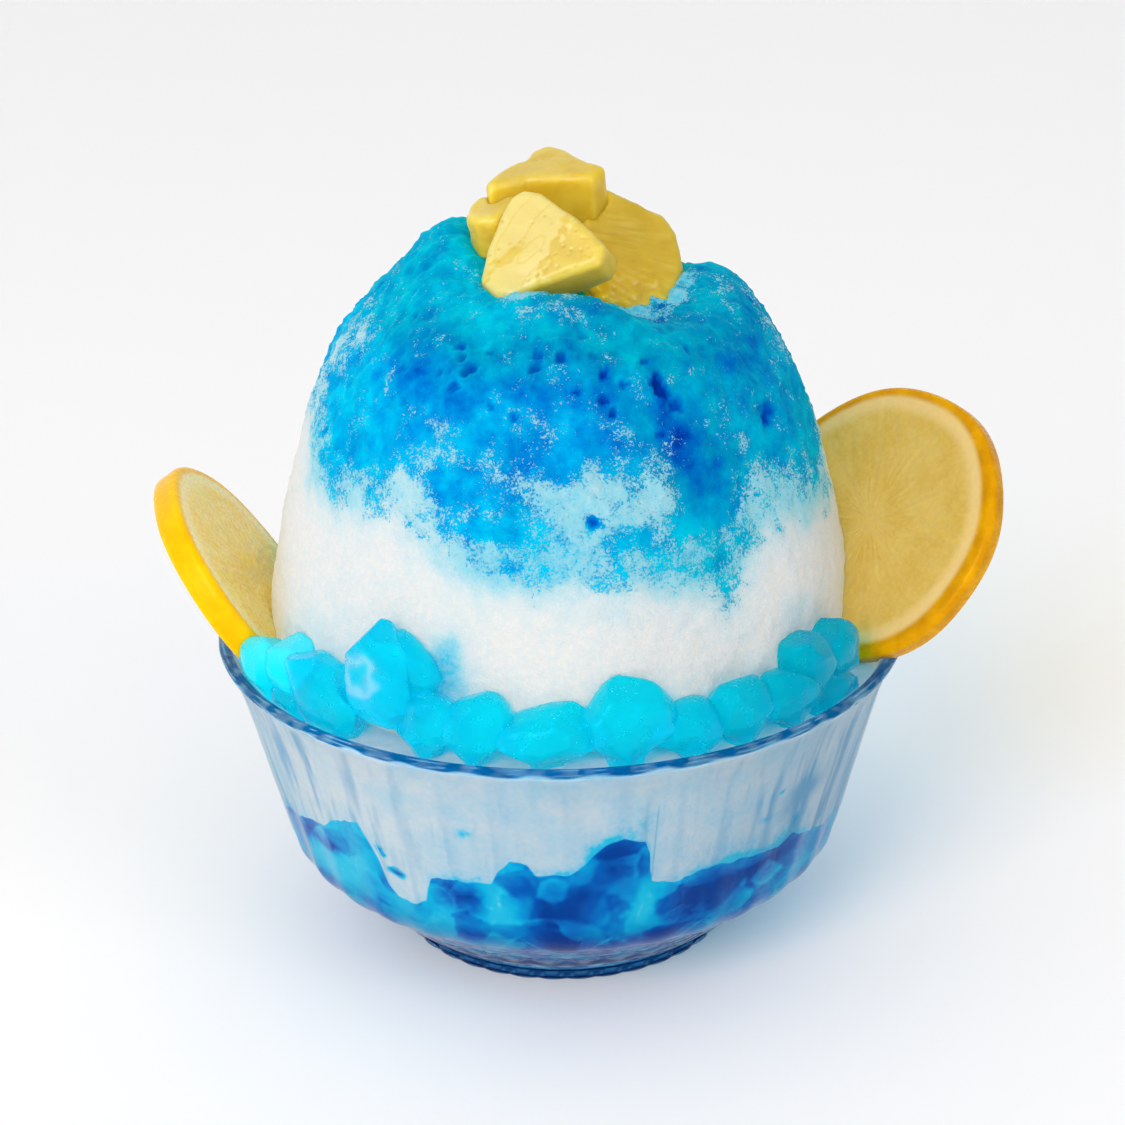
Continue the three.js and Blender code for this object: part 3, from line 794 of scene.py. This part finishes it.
# Patches on the mound: azimuth, height, width in degrees, height of the patch in mm, and how much more
# or less there is of it. First the depth of the syrup's colour.
STAIN_PATCHES = [
    (-37, 142, 9, 6, 0.26), (-50, 139, 7, 6, 0.2), (-27, 140, 5, 4, 0.12), (-24, 137, 4, 3, 0.16),
    (-7.5, 130, 5, 5, 0.28), (28, 139.5, 2.6, 6, 0.46), (30, 129, 8, 5, 0.42),
    (32.5, 121, 2.8, 5, 0.34), (59, 128, 5, 3, 0.24), (55, 141, 10, 5, 0.2), (12.5, 138, 3, 2.4, 0.26),
    (13.8, 143, 2, 1.4, 0.18), (7, 147, 6, 2, 0.14), (-56, 137, 9, 8, -0.26), (-48, 122, 7, 6, -0.24),
    (-83, 145, 8, 4, -0.1), (16, 148, 7, 3, -0.1), (23, 142, 2.6, 5, -0.16), (-35, 151, 9, 3, -0.22),
    (70, 119, 8, 8, -0.12), (40, 136, 4, 5, -0.08), (-16, 116, 8, 4, -0.1), (3, 133, 9, 4, -0.1),
    (7.2, 117, 1.8, 1, 0.4), (31, 110, 6, 8, -0.16), (7, 103.5, 5, 3, -0.1), (-64, 130, 5, 6, -0.12),
]

# Then the white frost that covers it, and blue that shows through the snow (less frost).
FROST_PATCHES = [
    (-84, 136, 9, 9, 0.6), (-72, 141, 9, 7, 0.4), (-48.6, 146.5, 2.5, 1.8, 0.24),
    (-48.3, 136.5, 2, 1.2, 0.34), (-28, 133.5, 5, 2.2, 0.42), (-13, 142, 5, 4, 0.14),
    (-28, 128, 9, 2.4, 0.48), (-6.5, 134, 9, 5, 0.18), (-39, 151.5, 8, 1.8, 0.26),
    (-2, 152, 16, 1.6, 0.6), (86, 141, 5, 12, 0.5), (42.5, 130, 4, 3.4, 0.3), (46, 125, 3, 4, 0.34),
    (14.5, 133, 6, 4, 0.24), (9, 122, 8, 4.5, 0.42), (23.5, 123.5, 4, 5, 0.44), (-33, 122, 4, 5, 0.44),
    (-9, 123.5, 8, 3.2, 0.42), (30, 113, 1.8, 3, 0.34), (66, 150, 9, 3, 0.24),
    (-21, 121.5, 8, 2.2, -0.3), (-14, 115.5, 9, 2.6, -0.66), (7.2, 117, 2.2, 1.1, -0.95),
    (5.7, 104.3, 3.2, 1.5, -0.62), (9.2, 103.4, 2.4, 2.2, -0.58), (27.6, 114, 4, 3.4, -0.6),
    (40, 112, 2, 5, -0.55), (32, 118.5, 3.4, 5, -0.75), (15.5, 112.8, 4, 3, -0.46),
    (33, 104, 5, 5, -0.34), (-48, 119, 5, 4, -0.24), (20, 107, 5, 4, -0.12), (44, 103, 5, 5, -0.1),
]

# And the pale blue that seeps into the snow.
HAZE_PATCHES = [
    (-23, 85, 4.5, 8, 1.1), (54, 87, 7, 4, 0.34), (8, 109, 22, 9, 0.3), (30, 104, 14, 9, 0.24),
    (-12, 108, 14, 6, 0.22), (-58, 114, 10, 8, 0.12), (-66, 124, 6, 12, 0.16), (60, 110, 12, 7, 0.18),
    (-45, 86, 18, 10, 0.24), (36, 80, 10, 4, 0.2),
]

# Pits in the soaked ice: azimuth, height, half width in mm and depth.
PITS = [
    (-25.1, 143.6, 2, 3.4), (-26.5, 142.6, 1.4, 2), (-30.8, 146.6, 1.3, 2.4), (-29.4, 145.2, 1.3, 2.2),
    (-33, 148.6, 1.2, 1.6), (-27.4, 140, 1.7, 1.3), (-33.7, 142.3, 1.2, 1), (-20.5, 146.4, 1.1, 1.2),
    (-5.8, 146.4, 1.3, 1.6), (-6.2, 144.3, 1.5, 2), (1.1, 145.9, 1.8, 2.8), (0.4, 147.4, 1, 1.4),
    (27.2, 146.9, 1.3, 1.6), (25.8, 143.6, 1.5, 1.8), (27.4, 141, 2, 2.6), (28.6, 138.6, 2.2, 2.6),
    (30.6, 135.6, 1.8, 1.8), (13.8, 143, 1.5, 1.3), (12.4, 138.6, 1.7, 2), (14.4, 136.4, 1.3, 1.4),
    (7.2, 117, 1.6, 1.4), (24.5, 131, 1.5, 1.4), (18, 141, 1.1, 1), (-17, 138, 1.1, 0.9),
    (-10, 136.5, 1.2, 1), (5, 140, 1.1, 0.9), (41, 144, 1.3, 1), (60, 129, 1.8, 1.2), (57, 127, 1.4, 1),
    (-42, 149, 1.2, 1.1), (-56, 149, 1.3, 1.1),
]

# The hollow that the tip of the front pineapple piece dips into: azimuth, height, half width, depth.
POCKET = (-24, 151, 3.2, 2.0)

MOUND_COLUMNS, MOUND_SPACING = 560, 0.68
HIDDEN_RINGS = [(30, 64), (58, 65), (62, 68), (SKIRT_RADIUS, SKIRT_HEIGHT)]  # radius and height


def mound_grid():
    """Base points of the mound, from a hidden bottom up its side to the middle of its top."""
    azimuths = full_circle(MOUND_COLUMNS)
    fine = 1 - (1 - np.linspace(0.0, 1, 4000)) ** 2.2 * 0.995
    radius = MOUND_RADIUS * (1 - fine**TOP_POWER) ** SIDE_POWER
    height = MOUND_RISE * fine
    run = np.concatenate([[0], np.cumsum(np.hypot(np.diff(radius), np.diff(height)))])
    count = int(run[-2] / MOUND_SPACING)
    ups = np.interp(np.linspace(0, run[-2], count), run, fine)
    side = [(mound_radius(azimuths, up), MOUND_BASE + MOUND_RISE * up) for up in ups]
    edge = side[-1][0]
    steps = max(int(edge.mean() / MOUND_SPACING / 1.4), 2)
    top = [(edge * share, MOUND_BASE + MOUND_RISE) for share in np.linspace(1, 0.02, steps)[1:]]
    grid = ring_grid(azimuths, HIDDEN_RINGS + side + top)
    x, y = grid[..., 0], grid[..., 1]
    up = (grid[..., 2] - MOUND_BASE) / MOUND_RISE
    at_x, at_y, wide, rise = PERCH
    perch = rise * np.exp(-((np.hypot(x - at_x, y - at_y) / wide) ** 4))
    grid[..., 2] += top_offset(x, y) * ease(up, 0.72, 0.96) + perch * ease(up, 0.9, 0.97)
    return grid


def mound_fields(points):
    """Depth of the syrup's colour, white frost, blue haze and teal cast at points on the mound."""
    true_azimuth = azimuth_of(points)
    azimuth = true_azimuth + 2.4 * rough_noise(points, 8, 61)
    z = points[:, 2] + 1.6 * rough_noise(points, 6, 71)
    below = around(true_azimuth + 1.2 * noise(points, 4, 73), CAP_EDGE) - z
    fade = around(true_azimuth, CAP_FADE)
    stain = 0.34 + 0.24 * rough_noise(points, 13, 81) + 0.10 * rough_noise(points, 4.5, 91, 2)
    stain -= 0.10 * ease(z, 147, 153) * ease(azimuth, -20, -30)
    stain += patches(azimuth, z, STAIN_PATCHES) - 0.22 * ease(below, -2, 6)
    frost = 0.06 + 0.56 * ease(below, -8, 1) + 0.14 * ease(below, 0, fade)
    frost += 0.12 * rough_noise(points, 7, 95) + patches(azimuth, z, FROST_PATCHES)
    frost += 0.9 * ease(below, 0.9 * fade, 2.1 * fade)
    haze = 0.6 * ease(below, 1.8 * fade + 8, -2) + patches(azimuth, z, HAZE_PATCHES)
    haze += 0.10 * rough_noise(points, 12, 97)
    teal = 0.12 + 0.7 * ease(z, 138, 148) + 0.6 * ease(azimuth, 0, 34)
    teal += 0.3 * rough_noise(points, 11, 99)
    return stain, frost, haze, np.clip(teal, 0, 1)


def touching_fruit(points):
    """How close points of the mound lie to the foot of the pineapple, from 0 to 1."""
    corners = [
        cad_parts[node].matrix_world @ vertex.co / MM
        for node in PINEAPPLE
        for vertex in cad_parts[node].data.vertices
    ]
    tree = KDTree(len(corners))
    for number, corner in enumerate(corners):
        tree.insert(corner, number)
    tree.balance()
    high = points[:, 2] > PINEAPPLE_FOOT
    distance = np.full(len(points), 99.0)
    distance[high] = [tree.find(point)[2] for point in points[high]]
    return ease(distance, 5.5, 2.5)


def distance_from(points, azimuth, at, height):
    """Distance of points from the one that lies nearest to an azimuth and a height."""
    across = np.radians(angle_between(azimuth, at)) * np.hypot(points[:, 0], points[:, 1])
    nearest = np.argmin(np.hypot(across, points[:, 2] - height))
    return np.linalg.norm(points - points[nearest], axis=1)


def mound_lumps(points, capped, frost, near):
    """How far lumps, grain and the lip by the fruit stand out of the mound's base form."""
    lumps = capped * (0.8 * rough_noise(points, 9, 101, 2) + 0.5 * noise(points, 3.2, 103))
    lumps += (0.2 + 0.22 * capped) * noise(points, 1.6, 105) + 0.3 * rough_noise(points, 5, 117)
    lumps += 0.5 * rough_noise(points, 14, 109) + 0.5 * capped * ease(frost, 0.3, 0.8)
    return lumps + near * (0.7 + noise(points, 2.4, 119))


def mound_hollows(points, azimuth, capped):
    """Depth of the pits and the pocket, and how much of a pit each point is, from 0 to 1."""
    distance, number = nearest_cell(points, 6, 107)
    small = capped * (number > 0.82) * ease(distance + 0.5 * noise(points, 1.3, 113), 1.5, 0.7)
    depth = 0.4 * small
    pitted = 0.5 * small
    ragged = 0.8 * noise(points, 2.0, 111) + 0.5 * noise(points, 1.0, 115)
    for at, height, wide, deep in PITS:
        hole = ease(distance_from(points, azimuth, at, height) + ragged, wide, wide * 0.4)
        depth += 0.55 * deep * hole
        pitted = np.maximum(pitted, hole)
    at, height, wide, deep = POCKET
    depth += deep * bell(distance_from(points, azimuth, at, height), wide)
    return depth, pitted


def mound_piece():
    grid = mound_grid()
    points = grid.reshape(-1, 3)
    azimuth = azimuth_of(points)
    stain, frost, haze, teal = mound_fields(points)
    capped = ease(around(azimuth, CAP_EDGE) - points[:, 2], 8, -4)
    near = touching_fruit(points) * (0.25 + 0.75 * ease(points[:, 0], -12, -7))
    frost_by_fruit = frost + 0.6 * near * ease(points[:, 1], 2, -6)
    depth, pitted = mound_hollows(points, azimuth, capped)
    above = ease(points[:, 2], SKIRT_HEIGHT, MOUND_BASE + 3)
    relief = (mound_lumps(points, capped, frost, near) - depth) * above
    moved = points + grid_normals(grid).reshape(-1, 3) * relief[:, None]
    # painted shade: the pits get deeper syrup colour and less frost
    fields = {
        "stain": stain + 0.34 * pitted,
        "frost": frost_by_fruit - 0.6 * pitted,
        "haze": haze + 0.4 * near,
        "teal": teal,
    }
    fields = {name: with_ends(field.reshape(grid.shape[:2])) for name, field in fields.items()}
    points = turned_points(moved.reshape(grid.shape))
    add_piece("ice_mound", points, turned_faces(grid), fields, ice_finish(), "shaved_ice")


# ---------------- jelly, lemon and pineapple


# How the first jelly pieces differ from their solids, and how the others do: wider, narrower towards
# the top, and leaning along the rim.
JELLY_FORMS = [
    (0.18, 0.25, 0), (0.2, 0.2, 0), (0.2, 0, 0), (0.22, 0.12, -0.1), (0.12, 0.3, 0), (1.1, 0.6, -1.6),
    (0.3, 0.3, 0.1), (0.25, 0.26, 0), (0.22, 0.24, 0.15), (0.2, 0.42, 0), (0.28, 0.16, 0),
    (0.26, 0.26, 0.1), (0.3, 0.1, 0), (0.3, 0.1, 0), (0.3, 0.4, -0.2), (0.2, 0.2, 0.1),
]
USUAL_FORM = (0.18, 0.25, 0)
MILKY, TUCKED = (0, 1), range(6, 13)  # numbers of the milky pieces and of those with a narrow foot
TUCK = 0.95
RINGED, RING_PLACE = 4, (2.4, 1.5)  # the one with a pale ring in its left half
JELLY_VOXEL, JELLY_SMOOTHING, JELLY_SWELL = 0.5, 4, 1.5
FLATS, FLAT_AT = 10, 0.84  # flat places on a piece, and the share of its reach that each is cut at
JELLY_SEED = 200
GAP = 0.3  # what is left between the toppings and the bowl's wall


def kept_inside(points):
    """Points below the bowl's rim moved in to where they are clear of its wall."""
    reach = np.hypot(points[:, 0], points[:, 1])
    wall = inner_radius(np.minimum(points[:, 2], BOWL_HEIGHT)) - GAP
    held = (points[:, 2] < BOWL_HEIGHT + GAP) & (reach > wall)
    moved = points.copy()
    moved[held, :2] *= (wall / reach)[held, None]
    return moved


def cut_flat(local, seed):
    """Points about their middle, with flat places cut into them."""
    random = np.random.RandomState(seed)
    for facet in random.normal(size=(FLATS, 3)):
        facet /= np.linalg.norm(facet)
        outward = local @ facet
        local = local - facet * np.maximum(outward - FLAT_AT * outward.max(), 0)[:, None]
    return local


def jelly_piece(node, number, finish):
    points, faces, normals = remeshed(node, JELLY_VOXEL, JELLY_SMOOTHING)
    swell = JELLY_SWELL + 0.5 * noise(points, 5.5, 121) + 0.10 * noise(points, 1.8, 123)
    points = points + normals * swell[:, None]
    middle = (points.max(0) + points.min(0)) / 2
    turn = math.radians(azimuth_of(middle))
    along = np.array([math.cos(turn), math.sin(turn), 0])
    local = points - middle
    height = local[:, 2] / local[:, 2].max()
    aside = local @ along
    widen, taper, lean = JELLY_FORMS[number] if number < len(JELLY_FORMS) else USUAL_FORM
    tuck = TUCK * (number in TUCKED) * ease(-height, 0, 0.6)
    moved = aside * (widen - taper * height - tuck)
    moved += lean * np.abs(aside).max() * np.clip(height, 0, 1)
    local = cut_flat(local + along * moved[:, None], JELLY_SEED + number)
    milk = 0.12 * (number in MILKY) * ease(height, 0, 1)
    if number == RINGED:
        from_middle = np.hypot(aside + RING_PLACE[0], (local[:, 2] - RING_PLACE[1]) * 0.8)
        milk = bell(from_middle - 3 + 1.4 * noise(points, 2.4, 125), 1.0)
    fields = {
        "frost": 0.22 * ease(normals[:, 2], 0.3, 0.9),
        # painted shade: darker towards the right, turned from the lamps
        "deep": ease(azimuth_of(local + middle), 0, 60),
        "milk": milk,
    }
    add_piece(node + "_soft", kept_inside(local + middle), faces, fields, finish, node)


def jelly_pieces():
    clear, milky = jelly_finish("jelly", 0.66), jelly_finish("jelly_milky", 0.16)
    nodes = sorted(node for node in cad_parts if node.startswith("jelly_"))
    for number, node in enumerate(nodes):
        jelly_piece(node, number, milky if number in MILKY else clear)


# Each slice's light is painted into its tones: the right slice's flesh as lit from the front, and the
# left one's brighter, as lit through from behind.
LEMON_TONES = {
    "lemon_left": [
        tone(255, 212, 104), tone(255, 224, 134), tone(255, 228, 148), tone(255, 232, 164),
        tone(250, 184, 0), tone(255, 196, 8),
    ],
    "lemon_right": [
        tone(203, 170, 82), tone(208, 178, 96), tone(214, 188, 114), tone(220, 192, 126),
        tone(198, 140, 0), tone(214, 158, 0),
    ],
}
# Middle, facing, radius and thickness of each slice, the angle of its first segment, and how much
# thicker its rind is at the low right.
LEMONS = {
    "lemon_left": ((-69.4, 4, 78.3), (0.81, 0.03, 0.58), 29.6, 6.6, 0.3, 0.0),
    "lemon_right": ((69, -4, 93.9), (-0.61, -0.56, 0.57), 30.8, 5, 1.1, 0.05),
}
LOW_RIGHT = (0.8, 0, -0.6)
SEGMENTS = 10
LEMON_COLUMNS, LEMON_ROWS = 300, 46
# Rings round a slice's edge: share of its radius and of half its thickness.
LEMON_EDGE = [(0.955, 0.99), (0.975, 0.93), (0.99, 0.82), (1, 0.6), (1, 0.3), (1, 0)]


def slice_profile():
    """Shares of a slice's radius and of half its thickness, from the middle of one face to the other."""
    face = np.linspace(0.02, 0.93, LEMON_ROWS)
    profile = [(r, -1.0) for r in face] + [(r, -h) for r, h in LEMON_EDGE]
    profile += [(r, h) for r, h in reversed(LEMON_EDGE[:-1])] + [(r, 1.0) for r in reversed(face)]
    return np.array(profile).T


def slice_relief(x, y, z, reach, angle, pulp, ring):
    """How far the juice cells of a slice's face stand out, and its membranes and pith lie back."""
    inside = ease(ring, 0.86, 0.8)
    rays = np.stack([reach * 0.35, angle[None, :] * 9 * np.ones_like(reach), z * 0.2], axis=-1)
    cells = noise(rays.reshape(-1, 3), 0.8, 131).reshape(reach.shape)
    raised = inside * (0.2 * pulp * cells - 0.1 * (1 - pulp)) - 0.15 * (1 - inside)
    flat = np.stack([x, y, np.full_like(x, 50)], axis=-1).reshape(-1, 3)
    return raised + 0.12 * noise(flat, 2.2, 133).reshape(reach.shape)


def lemon_piece(node):
    centre, facing, radius, thickness, first, thick_rind = LEMONS[node]
    share, level = slice_profile()
    angle = np.arange(LEMON_COLUMNS) * 2 * math.pi / LEMON_COLUMNS
    reach = share[:, None] * radius * (1 + 0.012 * np.sin(3 * angle + first) + 0.006 * np.sin(7 * angle))
    x, y = reach * np.cos(angle), reach * np.sin(angle)
    z = np.broadcast_to((level * thickness / 2)[:, None], reach.shape)
    turn = np.array(Vector((0, 0, 1)).rotation_difference(Vector(facing).normalized()).to_matrix())
    low_right = turn.T @ np.array(LOW_RIGHT)
    toward = (np.cos(angle) * low_right[0] + np.sin(angle) * low_right[1]) / np.hypot(*low_right[:2])
    ring = share[:, None] + thick_rind * np.clip(toward, 0, 1) * ease(share, 0.6, 0.9)[:, None]
    segment = (angle - first) / (2 * math.pi) * SEGMENTS
    off = np.abs(segment - np.round(segment))[None, :] * 2 * math.pi / SEGMENTS * reach
    pulp = ease(off, 0.25, 0.9) * ease(ring, 0.05, 0.12)
    on_face = np.abs(level)[:, None] == 1
    relief = slice_relief(x, y, z, reach, angle, pulp, ring)
    z = z + np.where(on_face, np.sign(level)[:, None] * relief, 0)
    grid = np.stack([x, y, z], axis=-1)
    points = kept_inside(turned_points(grid) @ turn.T + np.array(centre))
    fields = {"ring": with_ends(ring), "pulp": with_ends(pulp)}
    finish = lemon_finish(node + "_flesh", LEMON_TONES[node])
    add_piece(node + "_slice", points, turned_faces(grid), fields, finish, node)


# Middle and facing of each pineapple piece's upper face, the point in that face's plane that its
# fibres fan out from, how much painted sheen pales the face, how much the fibres stand out (which also
# sets its painted shade) and how wet its foot is.
PINEAPPLE = {
    "pineapple_front": ((-3, -17, 161), (-0.3, -0.72, 0.62), (-60, -53), 1.0, 0.1, 0.0),
    "pineapple_back": ((-2, 3, 172.5), (-0.06, -0.2, 0.97), (-90, -20), 0.35, 0.1, 0.0),
    "pineapple_right": ((13, -3.4, 156), (0.2, -0.75, 0.62), (-30, 8), 0.0, 0.75, 1.0),
    "pineapple_left": ((-12, -4, 167.2), (-0.15, -0.2, 0.96), (-90, -30), 0.5, 0.1, 0.5),
}
PINEAPPLE_VOXEL, PINEAPPLE_SMOOTHING = 0.4, 12


def face_axes(facing):
    """Unit vectors to the right of a face, up along it and out of it."""
    normal = np.array(facing) / np.linalg.norm(facing)
    right = np.array([1, 0, 0]) - normal * normal[0]
    right /= np.linalg.norm(right)
    return right, np.cross(normal, right), normal


def pineapple_piece(node, finish):
    centre, facing, fan, painted_sheen, stringy, wetness = PINEAPPLE[node]
    points, faces, normals = remeshed(node, PINEAPPLE_VOXEL, PINEAPPLE_SMOOTHING)
    axes = face_axes(facing)
    x, y, z = ((points - np.array(centre)) @ axis for axis in axes)  # in the face's own axes
    along = np.hypot(x - fan[0], y - fan[1])
    across = np.arctan2(y - fan[1], x - fan[0]) * math.hypot(*fan)
    stretched = np.stack([along * 0.12, across, z * 0.5], axis=-1)
    fibre = noise(stretched, 1.1, 141) + 0.5 * noise(stretched, 0.55, 143)
    facing_up = ease(normals @ axes[2], 0.4, 0.8)
    drawn_out = np.stack([along * 0.4, across, z * 0.3], axis=-1)
    crack = facing_up * painted_sheen * ease(np.abs(noise(drawn_out, 4.5, 155)), 0.07, 0.01)
    drift = noise(drawn_out, 5, 151) + 0.4 * noise(points, 2, 153) + 0.25 * noise(points, 0.9, 157)
    patchy = ease(drift + 0.35 - 0.9 * ease(x - 0.4 * y, -2, 9), -0.12, 0.06)
    distance, number = nearest_cell(points, 1.6, 149)
    holes = (number > 0.5) * ease(distance, 0.45, 0.15) * facing_up * painted_sheen
    wet = wetness * ease(z + 0.8 * y + 2 * noise(points, 4, 159), -1, -8)
    lift = 0.14 * stringy * fibre + 0.4 * noise(points, 7, 145) + 0.04 * noise(points, 1.6, 147)
    lift += 0.42 * wet * noise(points, 1.7, 161) + 0.3 - 0.25 * holes - 0.06 * crack
    # painted sheen on the upper face, left out in the holes and cracks
    sheen_shown = (0.06 + facing_up * (0.3 + 0.64 * patchy)) * painted_sheen
    fields = {
        "fibre": stringy * (0.5 + 0.5 * fibre),
        # painted shade, darkest towards the top of the face
        "shade": 0.6 * stringy * (0.5 + 0.5 * ease(y, -6, 5)),
        "wet": np.maximum(wet, 0.2),
        "pale": sheen_shown * (1 - 0.5 * holes) * (1 - 0.3 * crack),
    }
    points = points + normals * lift[:, None]
    add_piece(node + "_chunk", points, faces, fields, finish, node)


# ---------------- floor, light and camera


FLOOR_REACH = 4000  # how far the floor goes to each side and to the front, and the wall goes up
CURVE_FROM, CURVE_RADIUS = 1500, 900  # where the floor starts to curve up behind, and how tightly
SKY_TOWARD = (-0.5, -0.85, 0.15)  # where the sky is brightest
SKY_DIMMEST, SKY_BRIGHTEST = 0.16, 0.95
# Place, width, power and colour of each lamp.
LAMPS = {
    "key": ((-1000, -1950, 1500), 1200, 36, (1.0, 0.99, 0.97)),
    "fill": ((1450, -1400, 1050), 1200, 8, (1.0, 0.99, 0.96)),
}
LAMP_AIM = (0, 0, 90)

# The camera, fitted to the bowl's outline: angles in degrees, lengths in mm, and where a name says so,
# in the photo's pixels.
ELEVATION, ROLL = 23.64, 0.94
DISTANCE, AIM_HEIGHT, SENSOR = 700, 84.1, 36
FOCAL_PIXELS, AXIS_PIXEL = 3186, 559.9
NEAREST, FARTHEST = 10, 20000


def pale_sweep():
    """A pale floor that curves up behind."""
    side = np.linspace(-FLOOR_REACH, FLOOR_REACH, 9)
    curve = [(-FLOOR_REACH, 0), (CURVE_FROM, 0)]
    for turn in np.linspace(0.1, 1.5, 12):
        y = CURVE_FROM + CURVE_RADIUS * math.sin(turn)
        curve.append((y, CURVE_RADIUS - CURVE_RADIUS * math.cos(turn)))
    back = CURVE_FROM + CURVE_RADIUS
    curve += [(back, CURVE_RADIUS), (back, FLOOR_REACH)]
    points = np.array([(x, y, z) for y, z in curve for x in side])
    index = np.arange(len(points)).reshape(-1, len(side))
    faces = np.stack([index[:-1, :-1], index[:-1, 1:], index[1:, 1:], index[1:, :-1]], axis=-1)
    look = Finish("sweep")
    look.set(Base_Color=tone(252, 251, 250), Roughness=0.9, Specular_IOR_Level=0.1)
    mesh = mesh_from("sweep", points, faces.reshape(-1, 4).tolist())
    mesh.materials.append(look.material)
    floor = new_object("sweep", mesh)


def soft_sky():
    """A pale sky that brightens evenly towards the front left."""
    world = bpy.data.worlds.new("studio")
    world.use_nodes = True
    tree = world.node_tree
    way = new_node(tree, "TexCoord", {}).outputs["Generated"]
    brightest = Vector(SKY_TOWARD).normalized()
    toward = new_node(tree, "VectorMath", {0: way, 1: brightest}, operation="DOT_PRODUCT")
    inputs = {0: toward.outputs["Value"], 1: -1, 2: 1, 3: SKY_DIMMEST, 4: SKY_BRIGHTEST}
    strength = new_node(tree, "MapRange", inputs, clamp=False).outputs["Result"]
    background = tree.nodes["Background"]
    put(tree, background.inputs["Color"], tone(250, 251, 255))
    put(tree, background.inputs["Strength"], strength)
    bpy.context.scene.world = world


def soft_lamps():
    for name, (place, size, power, colour) in LAMPS.items():
        lamp = bpy.data.lights.new(name, "AREA")
        lamp.shape = "DISK"
        lamp.size = size * MM
        lamp.energy = power
        lamp.color = colour
        holder = new_object(name, lamp)
        holder.location = Vector(place) * MM
        aim = Vector(LAMP_AIM) * MM - holder.location
        holder.rotation_euler = aim.to_track_quat("-Z", "Y").to_euler()


def photo_camera():
    tilt, twist = math.radians(ELEVATION), math.radians(ROLL)
    back = Vector((0, -math.cos(tilt), math.sin(tilt)))
    right = Vector((1, 0, 0))
    up = Vector((0, math.sin(tilt), math.cos(tilt)))
    camera = bpy.data.cameras.new("photo")
    camera.sensor_width = SENSOR
    camera.lens = SENSOR * FOCAL_PIXELS / IMAGE_WIDTH
    camera.clip_start, camera.clip_end = NEAREST * MM, FARTHEST * MM
    camera.shift_x = (IMAGE_WIDTH / 2 - AXIS_PIXEL) / IMAGE_WIDTH
    holder = new_object("photo", camera)
    axes = Matrix((
        right * math.cos(twist) - up * math.sin(twist),
        right * math.sin(twist) + up * math.cos(twist),
        back,
    )).transposed()
    place = (Vector((0, 0, AIM_HEIGHT)) + back * DISTANCE) * MM
    holder.matrix_world = Matrix.Translation(place) @ axes.to_4x4()
    bpy.context.scene.camera = holder


# ---------------- putting it together

pale_sweep()
soft_sky()
soft_lamps()
photo_camera()
bpy.context.scene.view_settings.view_transform = "Standard"

bowl_piece()
syrup_piece()
fill_piece()
mound_piece()
jelly_pieces()
for slice_node in LEMONS:
    lemon_piece(slice_node)
pineapple = pineapple_finish()
for chunk_node in PINEAPPLE:
    pineapple_piece(chunk_node, pineapple)

bpy.context.view_layer.update()
